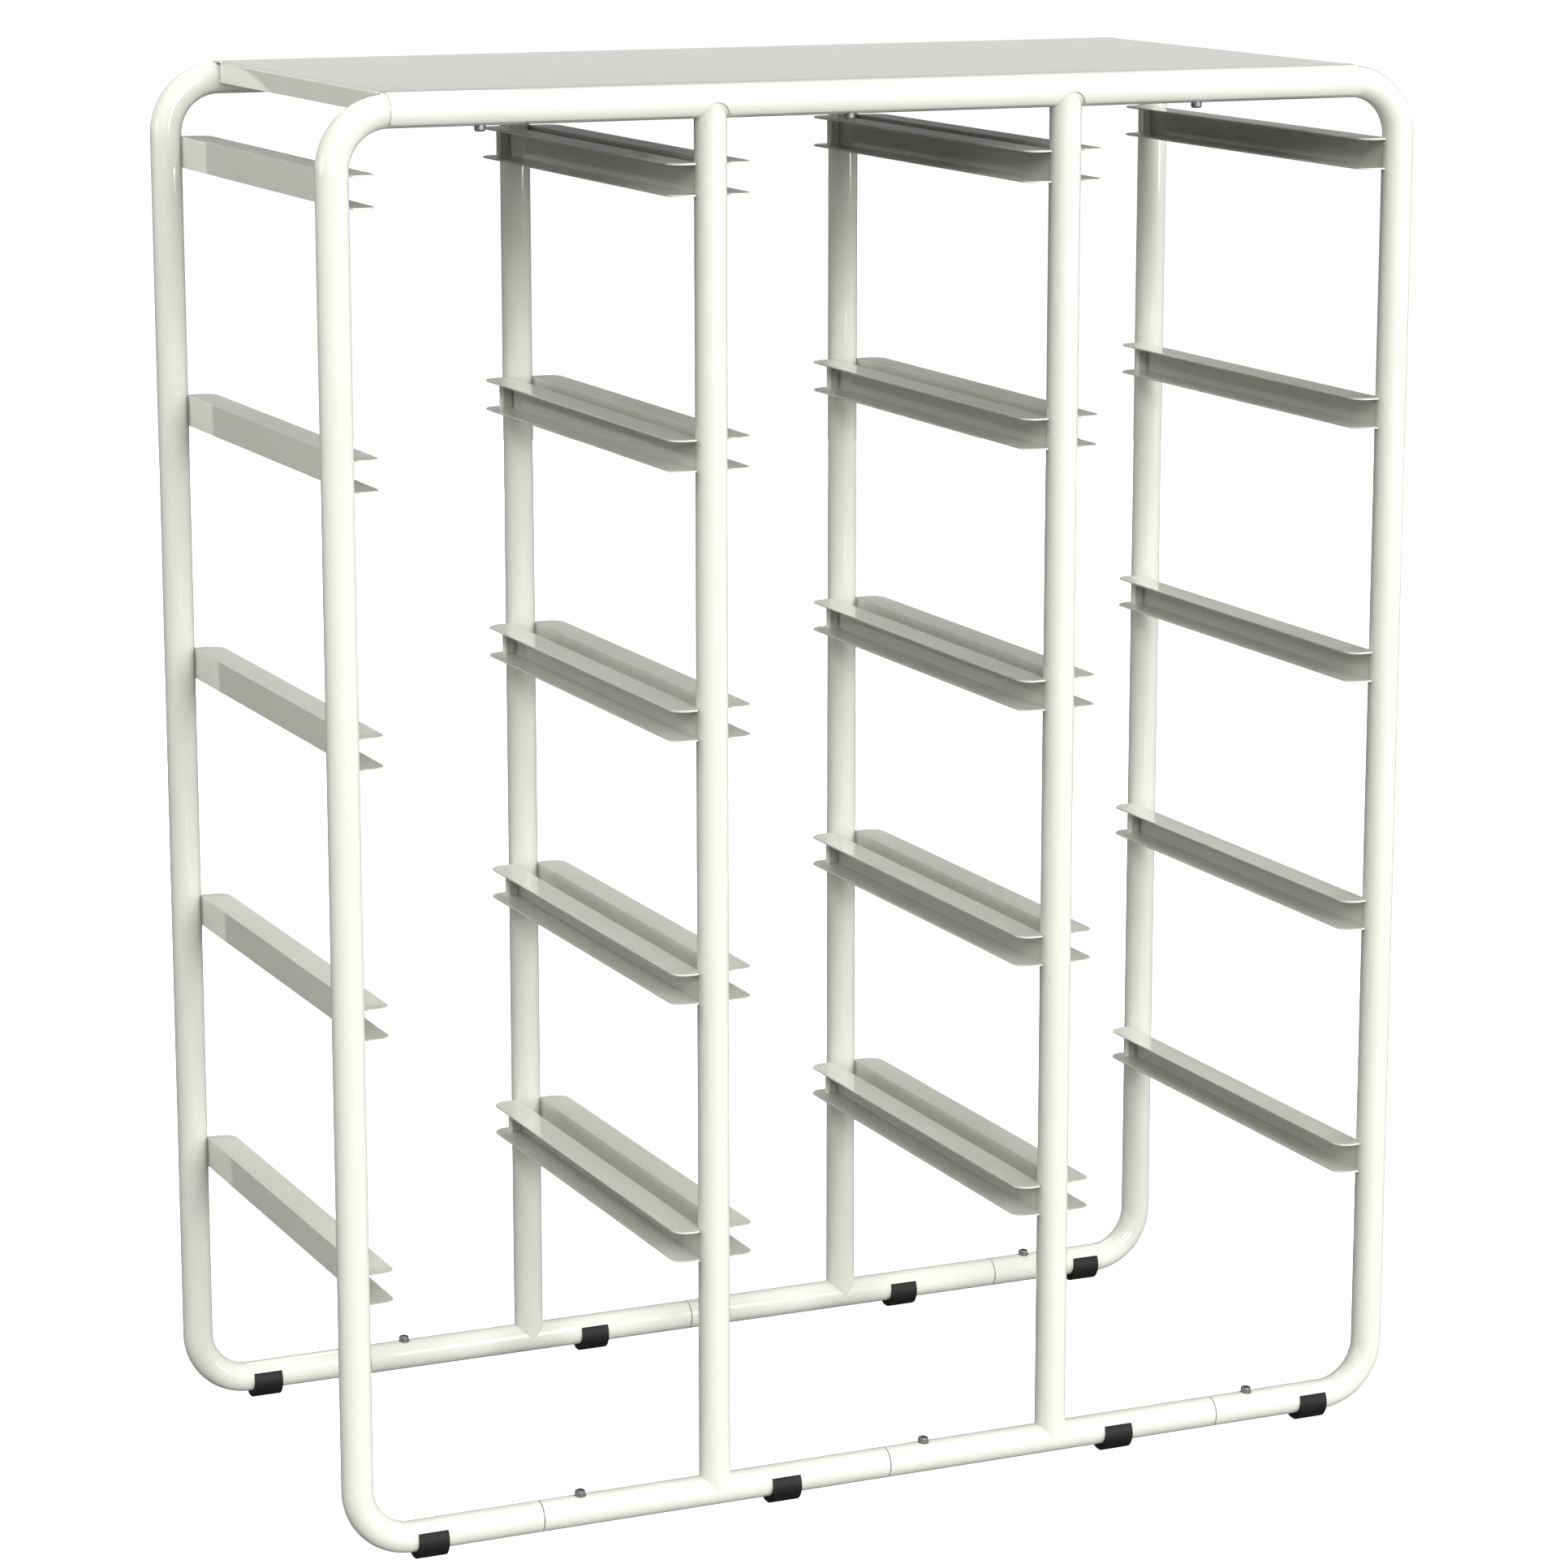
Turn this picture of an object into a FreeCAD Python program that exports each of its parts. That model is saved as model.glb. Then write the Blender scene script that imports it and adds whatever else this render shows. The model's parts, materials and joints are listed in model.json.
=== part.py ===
import FreeCAD, Part
import math
import os
import re
from typing import NamedTuple, Optional

import Sketcher

# Bin storage rack: a front and a back frame of bent tube, tied together by C-channel runners that
# carry the bins by their rims, with a formed sheet panel on top and plastic saddle feet below.
# X runs along the front, Y from front to back and Z up from the floor, with the origin in the
# middle of the footprint. Lengths are in millimetres and angles in degrees.

BAYS = ("left", "middle", "right")
LEVELS = 5
FRAMES = {"front": -1, "back": 1}
SIDES = {"left": 1, "right": -1}

SIZES = {
    # Frame tubes, measured between tube axes
    "bay_pitch": 304.8,
    "frame_depth": 419.1,
    "rail_spacing": 1117.0,
    "tube_diameter": 25.4,
    "tube_wall": 1.5,
    "bend_radius": 44.5,
    "seam_gap": 0.8,
    "weld_gap": 0.1,
    # Rail joints: an inner spigot and one screw each
    "spigot_reach": 50.0,
    "spigot_wall": 2.5,
    "spigot_gap": 0.1,
    "screw_offset": 35.0,
    "screw_diameter": 5.0,
    "screw_length": 10.0,
    "thread_gap": 0.05,
    "head_diameter": 8.5,
    "head_height": 5.9,
    "head_gap": 0.65,
    "socket_size": 4.0,
    "socket_depth": 2.5,
    # Runners: top of the lowest one above the bottom rail's axis, and room above the highest to the
    # top rail's axis, with the levels evenly spaced between
    "first_level": 221.4,
    "head_space": 46.0,
    "runner_width": 24.0,
    "runner_height": 25.6,
    "runner_sheet": 1.5,
    "runner_fold": 0.5,
    "runner_corner": 12.7,
    "runner_nest": 2.2,
    "runner_advance": 5.4,
    # Bin stops in the back ends of the runners
    "stop_reach": 11.0,
    "stop_setback": 20.0,
    "stop_roll": 5.0,
    "stop_sheet": 1.5,
    # Top panel
    "panel_sheet": 1.2,
    "panel_gap": 0.15,
    "panel_overrun": 1.5,
    "panel_wrap": 45.0,
    "panel_corner": 3.0,
    "flange_drop": 17.0,
    "flange_fold": 2.5,
    "flange_clearance": 3.0,
    "flange_relief": 2.0,
    "notch_clearance": 3.0,
    "notch_corner": 3.0,
    # Feet
    "foot_length": 25.0,
    "foot_offset": 58.5,
    "foot_wall": 2.5,
    "foot_bulge": 3.4,
    "foot_flat": 0.4,
    "foot_tip": 5.3,
    "foot_gap": 0.05,
}

TUBE_RADIUS = "(tube_diameter / 2)"
TUBE_BORE = "(tube_diameter / 2 - tube_wall)"
SPIGOT_RADIUS = f"({TUBE_BORE} - spigot_gap)"
HEAD_HOLE = "(head_diameter / 2 + head_gap)"
FOOT_RADIUS = f"({TUBE_RADIUS} + foot_wall)"
BOTTOM_RAIL = f"({FOOT_RADIUS} + foot_bulge - foot_flat)"
TOP_RAIL = f"({BOTTOM_RAIL} + rail_spacing)"
WEB_FACE = f"({TUBE_RADIUS} - runner_nest)"
FLANGE_EDGE = f"({WEB_FACE} + runner_width)"
PANEL_INNER = f"({TUBE_RADIUS} + panel_gap)"
PANEL_OUTER = f"({PANEL_INNER} + panel_sheet)"
PANEL_END = f"({len(BAYS)} * bay_pitch / 2 - bend_radius + panel_overrun)"

FULL_TURN = 360
COUNTERCLOCKWISE = 1
CLOCKWISE = -1
UPRIGHT = FreeCAD.Rotation()
ALONG_X = FreeCAD.Rotation(FreeCAD.Vector(0, 1, 0), 90)
UPSIDE_DOWN = FreeCAD.Rotation(FreeCAD.Vector(0, 1, 0), 180)


class Corner(NamedTuple):
    """A corner of an outline, and the arc that leads from it to the next one, if any."""

    x: str
    y: str
    arc: Optional[str] = None
    turn: int = COUNTERCLOCKWISE


doc = FreeCAD.newDocument("BinStorageRack")
sheet = doc.addObject("Spreadsheet::Sheet", "Sizes")
for row, (alias, size) in enumerate(SIZES.items(), start=1):
    sheet.set(f"A{row}", alias)
    sheet.set(f"B{row}", str(size))
    sheet.setAlias(f"B{row}", alias)
doc.recompute()
nodes = []


def in_sheet(formula):
    """The formula with each size's name turned into its cell."""

    def cell(word):
        return f"Sizes.{word[0]}" if word[0] in SIZES else word[0]

    return re.sub(r"[a-z]+(_[a-z]+)*", cell, formula)


def bind(item, name, formula):
    """Ties a property of an object to the sheet."""
    item.setExpression(name, in_sheet(formula))


def value(formula):
    """The formula's number at the sheet's present sizes."""
    return float(sheet.evalExpression(in_sheet(formula)))


def place(item, x, y, z, rotation=UPRIGHT):
    """Turns an object and ties its position to the sheet."""
    item.Placement = FreeCAD.Placement(FreeCAD.Vector(), rotation)
    for axis, formula in zip("xyz", (x, y, z)):
        bind(item, f"Placement.Base.{axis}", formula)
    return item


def node(item, label):
    """Names a sub-part and keeps it for the export."""
    item.Label = label
    nodes.append(item)
    return item


def upright_at(index):
    """X of an upright's axis, counted from the left."""
    return f"({index} - {len(BAYS)} / 2) * bay_pitch"


def seam_at(index):
    """X of the rail seam in the middle of a bay, counted from the left."""
    return f"({index} + 1 / 2 - {len(BAYS)} / 2) * bay_pitch"


def frame_at(frame):
    """Y of a frame's tube axes."""
    return f"{FRAMES[frame]} * frame_depth / 2"


def level_top(level):
    """Height of the top of a level's runners, with level 1 the lowest."""
    step = f"((rail_spacing - first_level - head_space) / {LEVELS - 1})"
    return f"{BOTTOM_RAIL} + first_level + {level - 1} * {step}"


def sketch_on(body, role, name, lift=None):
    """A sketch on one of the body's own origin planes, moved along its normal if asked."""
    plane = next(feature for feature in body.Origin.OriginFeatures if feature.Role == role)
    sketch = body.newObject("Sketcher::SketchObject", name)
    sketch.AttachmentSupport = [(plane, "")]
    sketch.MapMode = "FlatFace"
    if lift:
        bind(sketch, "AttachmentOffset.Base.z", lift)
    return sketch


def pin(sketch, curve, end, x, y):
    """Holds a point of a sketch at a distance from its origin that the sheet gives."""
    for kind, formula in (("DistanceX", x), ("DistanceY", y)):
        constraint = Sketcher.Constraint(kind, -1, 1, curve, end, value(formula))
        bind(sketch, f"Constraints[{sketch.addConstraint(constraint)}]", formula)


def arc_between(start, end, radius, turn):
    """The shorter arc of a radius from one point to another."""
    chord = end - start
    rise = math.sqrt(max(radius**2 - (chord.Length / 2) ** 2, 0))
    across = FreeCAD.Vector(-chord.y, chord.x, 0).normalize()
    centre = (start + end) / 2 + across * rise * turn
    first, last = (start, end) if turn == COUNTERCLOCKWISE else (end, start)
    angles = [math.atan2(point.y - centre.y, point.x - centre.x) for point in (first, last)]
    if angles[1] < angles[0]:
        angles[1] += 2 * math.pi
    circle = Part.Circle(centre, FreeCAD.Vector(0, 0, 1), radius)
    return Part.ArcOfCircle(circle, *angles)


def draw(sketch, corners, closed=True):
    """Draws lines and arcs through corners, each corner tied to the sheet."""
    points = [FreeCAD.Vector(value(corner.x), value(corner.y), 0) for corner in corners]
    count = len(corners)
    previous = None
    first = None
    for index in range(count if closed else count - 1):
        corner = corners[index]
        after = (index + 1) % count
        forward = corner.arc is None or corner.turn == COUNTERCLOCKWISE
        start_end = (1, 2) if forward else (2, 1)
        if corner.arc is None:
            curve = sketch.addGeometry(Part.LineSegment(points[index], points[after]))
        else:
            radius = value(corner.arc)
            curve = sketch.addGeometry(arc_between(points[index], points[after], radius, corner.turn))
            constraint = sketch.addConstraint(Sketcher.Constraint("Radius", curve, radius))
            bind(sketch, f"Constraints[{constraint}]", corner.arc)
        pin(sketch, curve, start_end[0], corner.x, corner.y)
        if previous is not None:
            sketch.addConstraint(Sketcher.Constraint("Coincident", *previous, curve, start_end[0]))
        first = first or (curve, start_end[0])
        previous = (curve, start_end[1])
    if closed:
        sketch.addConstraint(Sketcher.Constraint("Coincident", *previous, *first))
    else:
        pin(sketch, *previous, corners[-1].x, corners[-1].y)


def draw_circle(sketch, x, y, radius):
    """Draws a circle whose centre and radius are tied to the sheet."""
    centre = FreeCAD.Vector(value(x), value(y), 0)
    curve = sketch.addGeometry(Part.Circle(centre, FreeCAD.Vector(0, 0, 1), value(radius)))
    pin(sketch, curve, 3, x, y)
    constraint = sketch.addConstraint(Sketcher.Constraint("Radius", curve, value(radius)))
    bind(sketch, f"Constraints[{constraint}]", radius)


def sweep_out(body, kind, sketch, name, length, symmetric=False):
    """A Pad or Pocket of a sketch over a length."""
    feature = body.newObject(f"PartDesign::{kind}", name)
    feature.Profile = sketch
    bind(feature, "Length", length)
    if symmetric:
        feature.SideType = "Symmetric"
    sketch.Visibility = False
    return feature


def rod(name, radius, length, start, rotation=UPRIGHT):
    """A plain cylinder from its start point."""
    cylinder = doc.addObject("Part::Cylinder", name)
    bind(cylinder, "Radius", radius)
    bind(cylinder, "Height", length)
    return place(cylinder, *start, rotation)


def cut(name, base, tools):
    """A solid with other solids taken away from it."""
    tool = tools[0]
    if len(tools) > 1:
        tool = doc.addObject("Part::MultiFuse", f"{name}_tools")
        tool.Shapes = tools
    result = doc.addObject("Part::Cut", name)
    result.Base = base
    result.Tool = tool
    return result


def group(label, members):
    """Separate solids that share one node."""
    compound = doc.addObject("Part::Compound", label)
    compound.Links = members
    return node(compound, label)


def end_tube(frame, side):
    """A corner upright bent over at both ends into stubs of the bottom and top rails."""
    label = f"{frame}_{side}_end_tube"
    body = doc.addObject("PartDesign::Body", label)
    stub_end = "(bay_pitch / 2 - seam_gap / 2)"
    path = sketch_on(body, "XZ_Plane", f"{label}_path")
    draw(
        path,
        [
            Corner(stub_end, "0"),
            Corner("bend_radius", "0", "bend_radius", CLOCKWISE),
            Corner("0", "bend_radius"),
            Corner("0", "rail_spacing - bend_radius", "bend_radius", CLOCKWISE),
            Corner("bend_radius", "rail_spacing"),
            Corner(stub_end, "rail_spacing"),
        ],
        closed=False,
    )
    section = sketch_on(body, "YZ_Plane", f"{label}_section", lift=stub_end)
    draw_circle(section, "0", "0", TUBE_RADIUS)
    draw_circle(section, "0", "0", TUBE_BORE)
    pipe = body.newObject("PartDesign::AdditivePipe", f"{label}_bent")
    pipe.Profile = section
    pipe.Spine = path
    # The hole for the screw's head is in the underside of the top stub, or the top of the bottom one
    # once turned over.
    hole = sketch_on(body, "XY_Plane", f"{label}_hole", lift="rail_spacing")
    draw_circle(hole, "bay_pitch / 2 - screw_offset", "0", HEAD_HOLE)
    sweep_out(body, "Pocket", hole, f"{label}_screw_hole", "tube_diameter")
    if side == "left":
        place(body, upright_at(0), frame_at(frame), BOTTOM_RAIL)
    else:
        place(body, upright_at(len(BAYS)), frame_at(frame), TOP_RAIL, UPSIDE_DOWN)
    return node(body, label)


def middle_upright(frame, side, index):
    """An upright tube whose two ends are coped to sit on the rails."""
    label = f"{frame}_{side}_middle_upright"
    outer = rod(f"{label}_outer", TUBE_RADIUS, "rail_spacing", ("0", "0", "0"))
    bore = rod(f"{label}_bore", TUBE_BORE, "rail_spacing", ("0", "0", "0"))
    copes = [
        rod(
            f"{label}_{end}_cope",
            f"{TUBE_RADIUS} + weld_gap",
            "2 * tube_diameter",
            ("-tube_diameter", "0", height),
            ALONG_X,
        )
        for end, height in (("bottom", "0"), ("top", "rail_spacing"))
    ]
    tube = cut(label, outer, [bore, *copes])
    place(tube, upright_at(index), frame_at(frame), BOTTOM_RAIL)
    return node(tube, label)


def middle_rail(frame, side, index, position):
    """A straight rail piece, one bay long, with the hole for a joint's screw head at one end."""
    label = f"{frame}_{side}_{position}_rail"
    length = "(bay_pitch - seam_gap)"
    start = (f"-{length} / 2", "0", "0")
    outer = rod(f"{label}_outer", TUBE_RADIUS, length, start, ALONG_X)
    bore = rod(f"{label}_bore", TUBE_BORE, length, start, ALONG_X)
    hole = rod(f"{label}_hole", HEAD_HOLE, "tube_diameter", ("screw_offset - bay_pitch / 2", "0", "0"))
    tube = cut(label, outer, [bore, hole])
    height = BOTTOM_RAIL if position == "bottom" else TOP_RAIL
    turn = UPRIGHT if position == "bottom" else UPSIDE_DOWN
    place(tube, upright_at(index), frame_at(frame), height, turn)
    return node(tube, label)


def joint_spigot(name, seam, frame, position):
    """A short inner tube across a rail seam, tapped for the joint's screw."""
    start = ("-spigot_reach", "0", "0")
    outer = rod(f"{name}_outer", SPIGOT_RADIUS, "2 * spigot_reach", start, ALONG_X)
    bore = rod(f"{name}_bore", f"{SPIGOT_RADIUS} - spigot_wall", "2 * spigot_reach", start, ALONG_X)
    thread = rod(
        f"{name}_thread",
        "screw_diameter / 2 + thread_gap",
        "tube_diameter",
        ("screw_offset", "0", "0"),
    )
    spigot = cut(name, outer, [bore, thread])
    height = BOTTOM_RAIL if position == "bottom" else TOP_RAIL
    turn = UPRIGHT if position == "bottom" else UPSIDE_DOWN
    return place(spigot, seam_at(seam), frame_at(frame), height, turn)


def joint_screw(name, seam, frame, position):
    """A socket-head screw, driven into the spigot with its head sunk through the rail's wall."""
    body = doc.addObject("PartDesign::Body", name)
    profile = sketch_on(body, "XZ_Plane", f"{name}_profile")
    draw(
        profile,
        [
            Corner("0", "-screw_length"),
            Corner("screw_diameter / 2", "-screw_length"),
            Corner("screw_diameter / 2", "0"),
            Corner("head_diameter / 2", "0"),
            Corner("head_diameter / 2", "head_height"),
            Corner("0", "head_height"),
        ],
    )
    turned = body.newObject("PartDesign::Revolution", f"{name}_turned")
    turned.Profile = profile
    turned.ReferenceAxis = (profile, ["V_Axis"])
    turned.Angle = FULL_TURN
    socket = sketch_on(body, "XY_Plane", f"{name}_socket", lift="head_height")
    sides = 6
    across_corners = f"(socket_size / cos({FULL_TURN / sides / 2}) / 2)"
    angles = [FULL_TURN * side / sides for side in range(sides)]
    draw(
        socket,
        [Corner(f"{across_corners} * cos({turn})", f"{across_corners} * sin({turn})") for turn in angles],
    )
    sweep_out(body, "Pocket", socket, f"{name}_hexagon", "socket_depth")
    if position == "bottom":
        x = f"{seam_at(seam)} + screw_offset"
        return place(body, x, frame_at(frame), f"{BOTTOM_RAIL} + {SPIGOT_RADIUS}")
    x = f"{seam_at(seam)} - screw_offset"
    return place(body, x, frame_at(frame), f"{TOP_RAIL} - {SPIGOT_RADIUS}", UPSIDE_DOWN)


def mirrored(hand, corners):
    """An outline as drawn for the left of a bay, or its mirror image for the right."""
    return [Corner(f"{hand} * ({c.x})", c.y, c.arc, c.turn * hand) for c in corners]


def runner(bay, level, side):
    """A folded C-channel from the front upright to the back one, coped round both tubes."""
    label = f"{BAYS[bay]}_bay_level_{level}_{side}_runner"
    hand = SIDES[side]
    body = doc.addObject("PartDesign::Body", label)
    fold = "(runner_fold + runner_sheet)"
    inner_web = f"{WEB_FACE} + runner_sheet"
    flange_start = f"{WEB_FACE} + {fold}"
    channel = sketch_on(body, "XZ_Plane", f"{label}_channel")
    draw(
        channel,
        mirrored(
            hand,
            [
                Corner(FLANGE_EDGE, "0"),
                Corner(flange_start, "0", fold),
                Corner(WEB_FACE, f"-{fold}"),
                Corner(WEB_FACE, f"{fold} - runner_height", fold),
                Corner(flange_start, "-runner_height"),
                Corner(FLANGE_EDGE, "-runner_height"),
                Corner(FLANGE_EDGE, "runner_sheet - runner_height"),
                Corner(flange_start, "runner_sheet - runner_height", "runner_fold", CLOCKWISE),
                Corner(inner_web, f"{fold} - runner_height"),
                Corner(inner_web, f"-{fold}", "runner_fold", CLOCKWISE),
                Corner(flange_start, "-runner_sheet"),
                Corner(FLANGE_EDGE, "-runner_sheet"),
            ],
        ),
    )
    sweep_out(body, "Pad", channel, f"{label}_fold", "frame_depth")
    corners = sketch_on(body, "XY_Plane", f"{label}_corners")
    inset = f"{FLANGE_EDGE} - runner_corner"
    draw(
        corners,
        mirrored(
            hand,
            [
                Corner(FLANGE_EDGE, "0"),
                Corner(inset, "0", "runner_corner", CLOCKWISE),
                Corner(FLANGE_EDGE, "-runner_corner"),
            ],
        ),
    )
    draw(
        corners,
        mirrored(
            hand,
            [
                Corner(FLANGE_EDGE, "-frame_depth"),
                Corner(FLANGE_EDGE, "runner_corner - frame_depth", "runner_corner", CLOCKWISE),
                Corner(inset, "-frame_depth"),
            ],
        ),
    )
    sweep_out(body, "Pocket", corners, f"{label}_rounding", "runner_height")
    copes = sketch_on(body, "XY_Plane", f"{label}_copes")
    for upright in ("runner_advance", "runner_advance - frame_depth"):
        draw_circle(copes, "0", upright, f"{TUBE_RADIUS} + weld_gap")
    sweep_out(body, "Pocket", copes, f"{label}_coping", "runner_height")
    index = bay if side == "left" else bay + 1
    place(body, upright_at(index), "frame_depth / 2 - runner_advance", level_top(level))
    return node(body, label)


def bin_stop(bay, level, side):
    """An upright tab across the back of a runner's channel, with a round bead on its free edge."""
    name = f"{BAYS[bay]}_bay_level_{level}_{side}_stop"
    body = doc.addObject("PartDesign::Body", name)
    hand = SIDES[side]
    roll = "stop_roll / 2"
    web = f"{WEB_FACE} + runner_sheet + runner_fold"
    edge = f"{WEB_FACE} + stop_reach"
    front = f"-stop_setback - {roll}"
    back = f"{front} + stop_sheet"
    closing = f"{edge} - sqrt(({roll})^2 - ({roll} - stop_sheet)^2)"
    tab = sketch_on(body, "XY_Plane", f"{name}_section")
    draw(
        tab,
        mirrored(
            hand,
            [
                Corner(web, front),
                Corner(edge, front, roll),
                Corner(f"{edge} + {roll}", "-stop_setback", roll),
                Corner(edge, f"{roll} - stop_setback", roll),
                Corner(closing, back),
                Corner(web, back),
            ],
        ),
    )
    sweep_out(body, "Pad", tab, f"{name}_tab", "runner_height - 2 * runner_sheet - 2 * weld_gap")
    index = bay if side == "left" else bay + 1
    height = f"{level_top(level)} - runner_height + runner_sheet + weld_gap"
    return place(body, upright_at(index), "frame_depth / 2", height)


def top_panel():
    """A sheet rolled over both top rails, notched round the uprights and turned down at its ends."""
    body = doc.addObject("PartDesign::Body", "top_panel")
    rail = "frame_depth / 2"
    lip = [f"{radius} * cos(panel_wrap)" for radius in (PANEL_INNER, PANEL_OUTER)]
    drop = [f"{radius} * sin(panel_wrap)" for radius in (PANEL_INNER, PANEL_OUTER)]
    section = sketch_on(body, "YZ_Plane", "panel_section")
    draw(
        section,
        [
            Corner(rail, PANEL_OUTER),
            Corner(f"-{rail}", PANEL_OUTER, PANEL_OUTER),
            Corner(f"-{rail} - {lip[1]}", f"-{drop[1]}"),
            Corner(f"-{rail} - {lip[0]}", f"-{drop[0]}", PANEL_INNER, CLOCKWISE),
            Corner(f"-{rail}", PANEL_INNER),
            Corner(rail, PANEL_INNER, PANEL_INNER, CLOCKWISE),
            Corner(f"{rail} + {lip[0]}", f"-{drop[0]}"),
            Corner(f"{rail} + {lip[1]}", f"-{drop[1]}", PANEL_OUTER),
        ],
    )
    sweep_out(body, "Pad", section, "panel_rolled", f"2 * {PANEL_END}", symmetric=True)

    # The flat between the rails stops short, and a folded flange carries on downwards from it.
    half_flange = f"({rail} - {TUBE_RADIUS} - flange_clearance)"
    fold_line = f"({PANEL_END} - flange_fold)"
    half_relief = f"({half_flange} + flange_relief)"
    reliefs = sketch_on(body, "XY_Plane", "panel_reliefs", lift=f"{PANEL_OUTER} + panel_sheet")
    flanges = sketch_on(body, "XZ_Plane", "panel_flanges")
    inner_fold = "(flange_fold - panel_sheet)"
    for hand in SIDES.values():
        draw(
            reliefs,
            mirrored(
                hand,
                [
                    Corner(fold_line, f"-{half_relief}"),
                    Corner(f"{PANEL_END} + panel_sheet", f"-{half_relief}"),
                    Corner(f"{PANEL_END} + panel_sheet", half_relief),
                    Corner(fold_line, half_relief),
                ],
            ),
        )
        draw(
            flanges,
            mirrored(
                hand,
                [
                    Corner(fold_line, PANEL_OUTER, "flange_fold", CLOCKWISE),
                    Corner(PANEL_END, f"{PANEL_OUTER} - flange_fold"),
                    Corner(PANEL_END, f"{PANEL_OUTER} - flange_drop"),
                    Corner(f"{PANEL_END} - panel_sheet", f"{PANEL_OUTER} - flange_drop"),
                    Corner(f"{PANEL_END} - panel_sheet", f"{PANEL_OUTER} - flange_fold", inner_fold),
                    Corner(fold_line, PANEL_INNER),
                ],
            ),
        )
    sweep_out(body, "Pocket", reliefs, "panel_cut_back", "3 * panel_sheet")
    sweep_out(body, "Pad", flanges, "panel_end_flanges", f"2 * {half_flange}", symmetric=True)

    # Arched notches, up to the rail's axis, clear the middle uprights' coped ends. Each arch runs into
    # a rounded corner of the lip at a common tangent.
    notches = sketch_on(body, "XZ_Plane", "panel_notches")
    below = f"(-{drop[1]} - panel_sheet)"
    half_upright = f"sqrt({TUBE_RADIUS}^2 - ({lip[0]})^2)"
    arch = f"({half_upright} + notch_clearance)"
    between_centres = f"({arch} + notch_corner)"
    rise = f"({between_centres} - {drop[1]})"
    reach = f"sqrt({between_centres}^2 - {rise}^2)"
    half_notch = f"{reach} * {arch} / {between_centres}"
    shoulder = f"{rise} * {arch} / {between_centres} - {arch}"
    for index in range(1, len(BAYS)):
        middle = upright_at(index)
        draw(
            notches,
            [
                Corner(f"{middle} - {reach}", below),
                Corner(f"{middle} + {reach}", below),
                Corner(f"{middle} + {reach}", f"-{drop[1]}", "notch_corner", CLOCKWISE),
                Corner(f"{middle} + {half_notch}", shoulder, arch),
                Corner(f"{middle} - {half_notch}", shoulder, "notch_corner", CLOCKWISE),
                Corner(f"{middle} - {reach}", f"-{drop[1]}"),
            ],
        )
    for hand in SIDES.values():
        draw(
            notches,
            mirrored(
                hand,
                [
                    Corner(f"{PANEL_END} - panel_corner", f"-{drop[1]}", "panel_corner"),
                    Corner(PANEL_END, f"panel_corner - {drop[1]}"),
                    Corner(f"{PANEL_END} + panel_sheet", f"panel_corner - {drop[1]}"),
                    Corner(f"{PANEL_END} + panel_sheet", below),
                    Corner(f"{PANEL_END} - panel_corner", below),
                ],
            ),
        )
    sweep_out(body, "Pocket", notches, "panel_notched", "2 * frame_depth", symmetric=True)
    place(body, "0", "0", TOP_RAIL)
    return node(body, "top_panel")


def foot(frame, number):
    """A plastic saddle snapped on the bottom rail, thickest below, with a flat to stand on."""
    label = f"{frame}_foot_{number}"
    start = "-foot_length / 2"
    outer = rod(f"{label}_outer", FOOT_RADIUS, "foot_length", (start, "0", "-foot_bulge"), ALONG_X)
    slab = doc.addObject("Part::Box", f"{label}_slab")
    bind(slab, "Length", "foot_length")
    bind(slab, "Width", f"2 * {FOOT_RADIUS}")
    bind(slab, "Height", f"{BOTTOM_RAIL} + foot_tip")
    place(slab, start, f"-{FOOT_RADIUS}", f"-{BOTTOM_RAIL}")
    saddle = doc.addObject("Part::Common", f"{label}_saddle")
    saddle.Base = outer
    saddle.Tool = slab
    seat = f"{TUBE_RADIUS} + foot_gap"
    bore = rod(f"{label}_bore", seat, "foot_length", (start, "0", "0"), ALONG_X)
    shoe = cut(label, saddle, [bore])
    last = number > len(BAYS)
    inward = "-" if last else "+"
    place(shoe, f"{upright_at(number - 1)} {inward} foot_offset", frame_at(frame), BOTTOM_RAIL)
    return node(shoe, label)


for frame in FRAMES:
    for side in SIDES:
        end_tube(frame, side)
    for index, side in enumerate(SIDES, start=1):
        middle_upright(frame, side, index)
        for position in ("bottom", "top"):
            middle_rail(frame, side, index, position)
    for number in range(1, len(BAYS) + 2):
        foot(frame, number)
    joints = [(seam, position) for seam in range(len(BAYS)) for position in ("bottom", "top")]
    spigots = [joint_spigot(f"{frame}_{p}_spigot_{s + 1}", s, frame, p) for s, p in joints]
    group(f"{frame}_joint_spigots", spigots)
    screws = [joint_screw(f"{frame}_{p}_screw_{s + 1}", s, frame, p) for s, p in joints]
    group(f"{frame}_joint_screws", screws)

places = [(b, level, side) for b in range(len(BAYS)) for level in range(1, LEVELS + 1) for side in SIDES]
for spot in places:
    runner(*spot)
group("bin_stops", [bin_stop(*spot) for spot in places])
top_panel()
doc.recompute()

failed = [item.Label for item in doc.Objects if {"Invalid", "Error"} & set(item.State)]
if failed:
    raise RuntimeError(f"objects that failed to build: {failed}")
for item in nodes:
    shape = item.Shape
    if shape.isNull() or not shape.isValid() or not shape.Solids:
        raise RuntimeError(f"no valid solid in {item.Label}")

os.makedirs("parts", exist_ok=True)
for item in nodes:
    item.Shape.exportStep(f"parts/{item.Label}.step")
print(f"{len(nodes)} nodes, {sum(len(item.Shape.Solids) for item in nodes)} solids")
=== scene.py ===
"""Bin storage rack in white powder coat, dressed for a studio picture.

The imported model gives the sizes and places. This script lays fine meshes and finishes over it, and sets the
floor, the lights and the camera.
"""

import json
import logging
import math
from dataclasses import dataclass
from enum import Enum
from typing import Any, Iterable, Iterator

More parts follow.
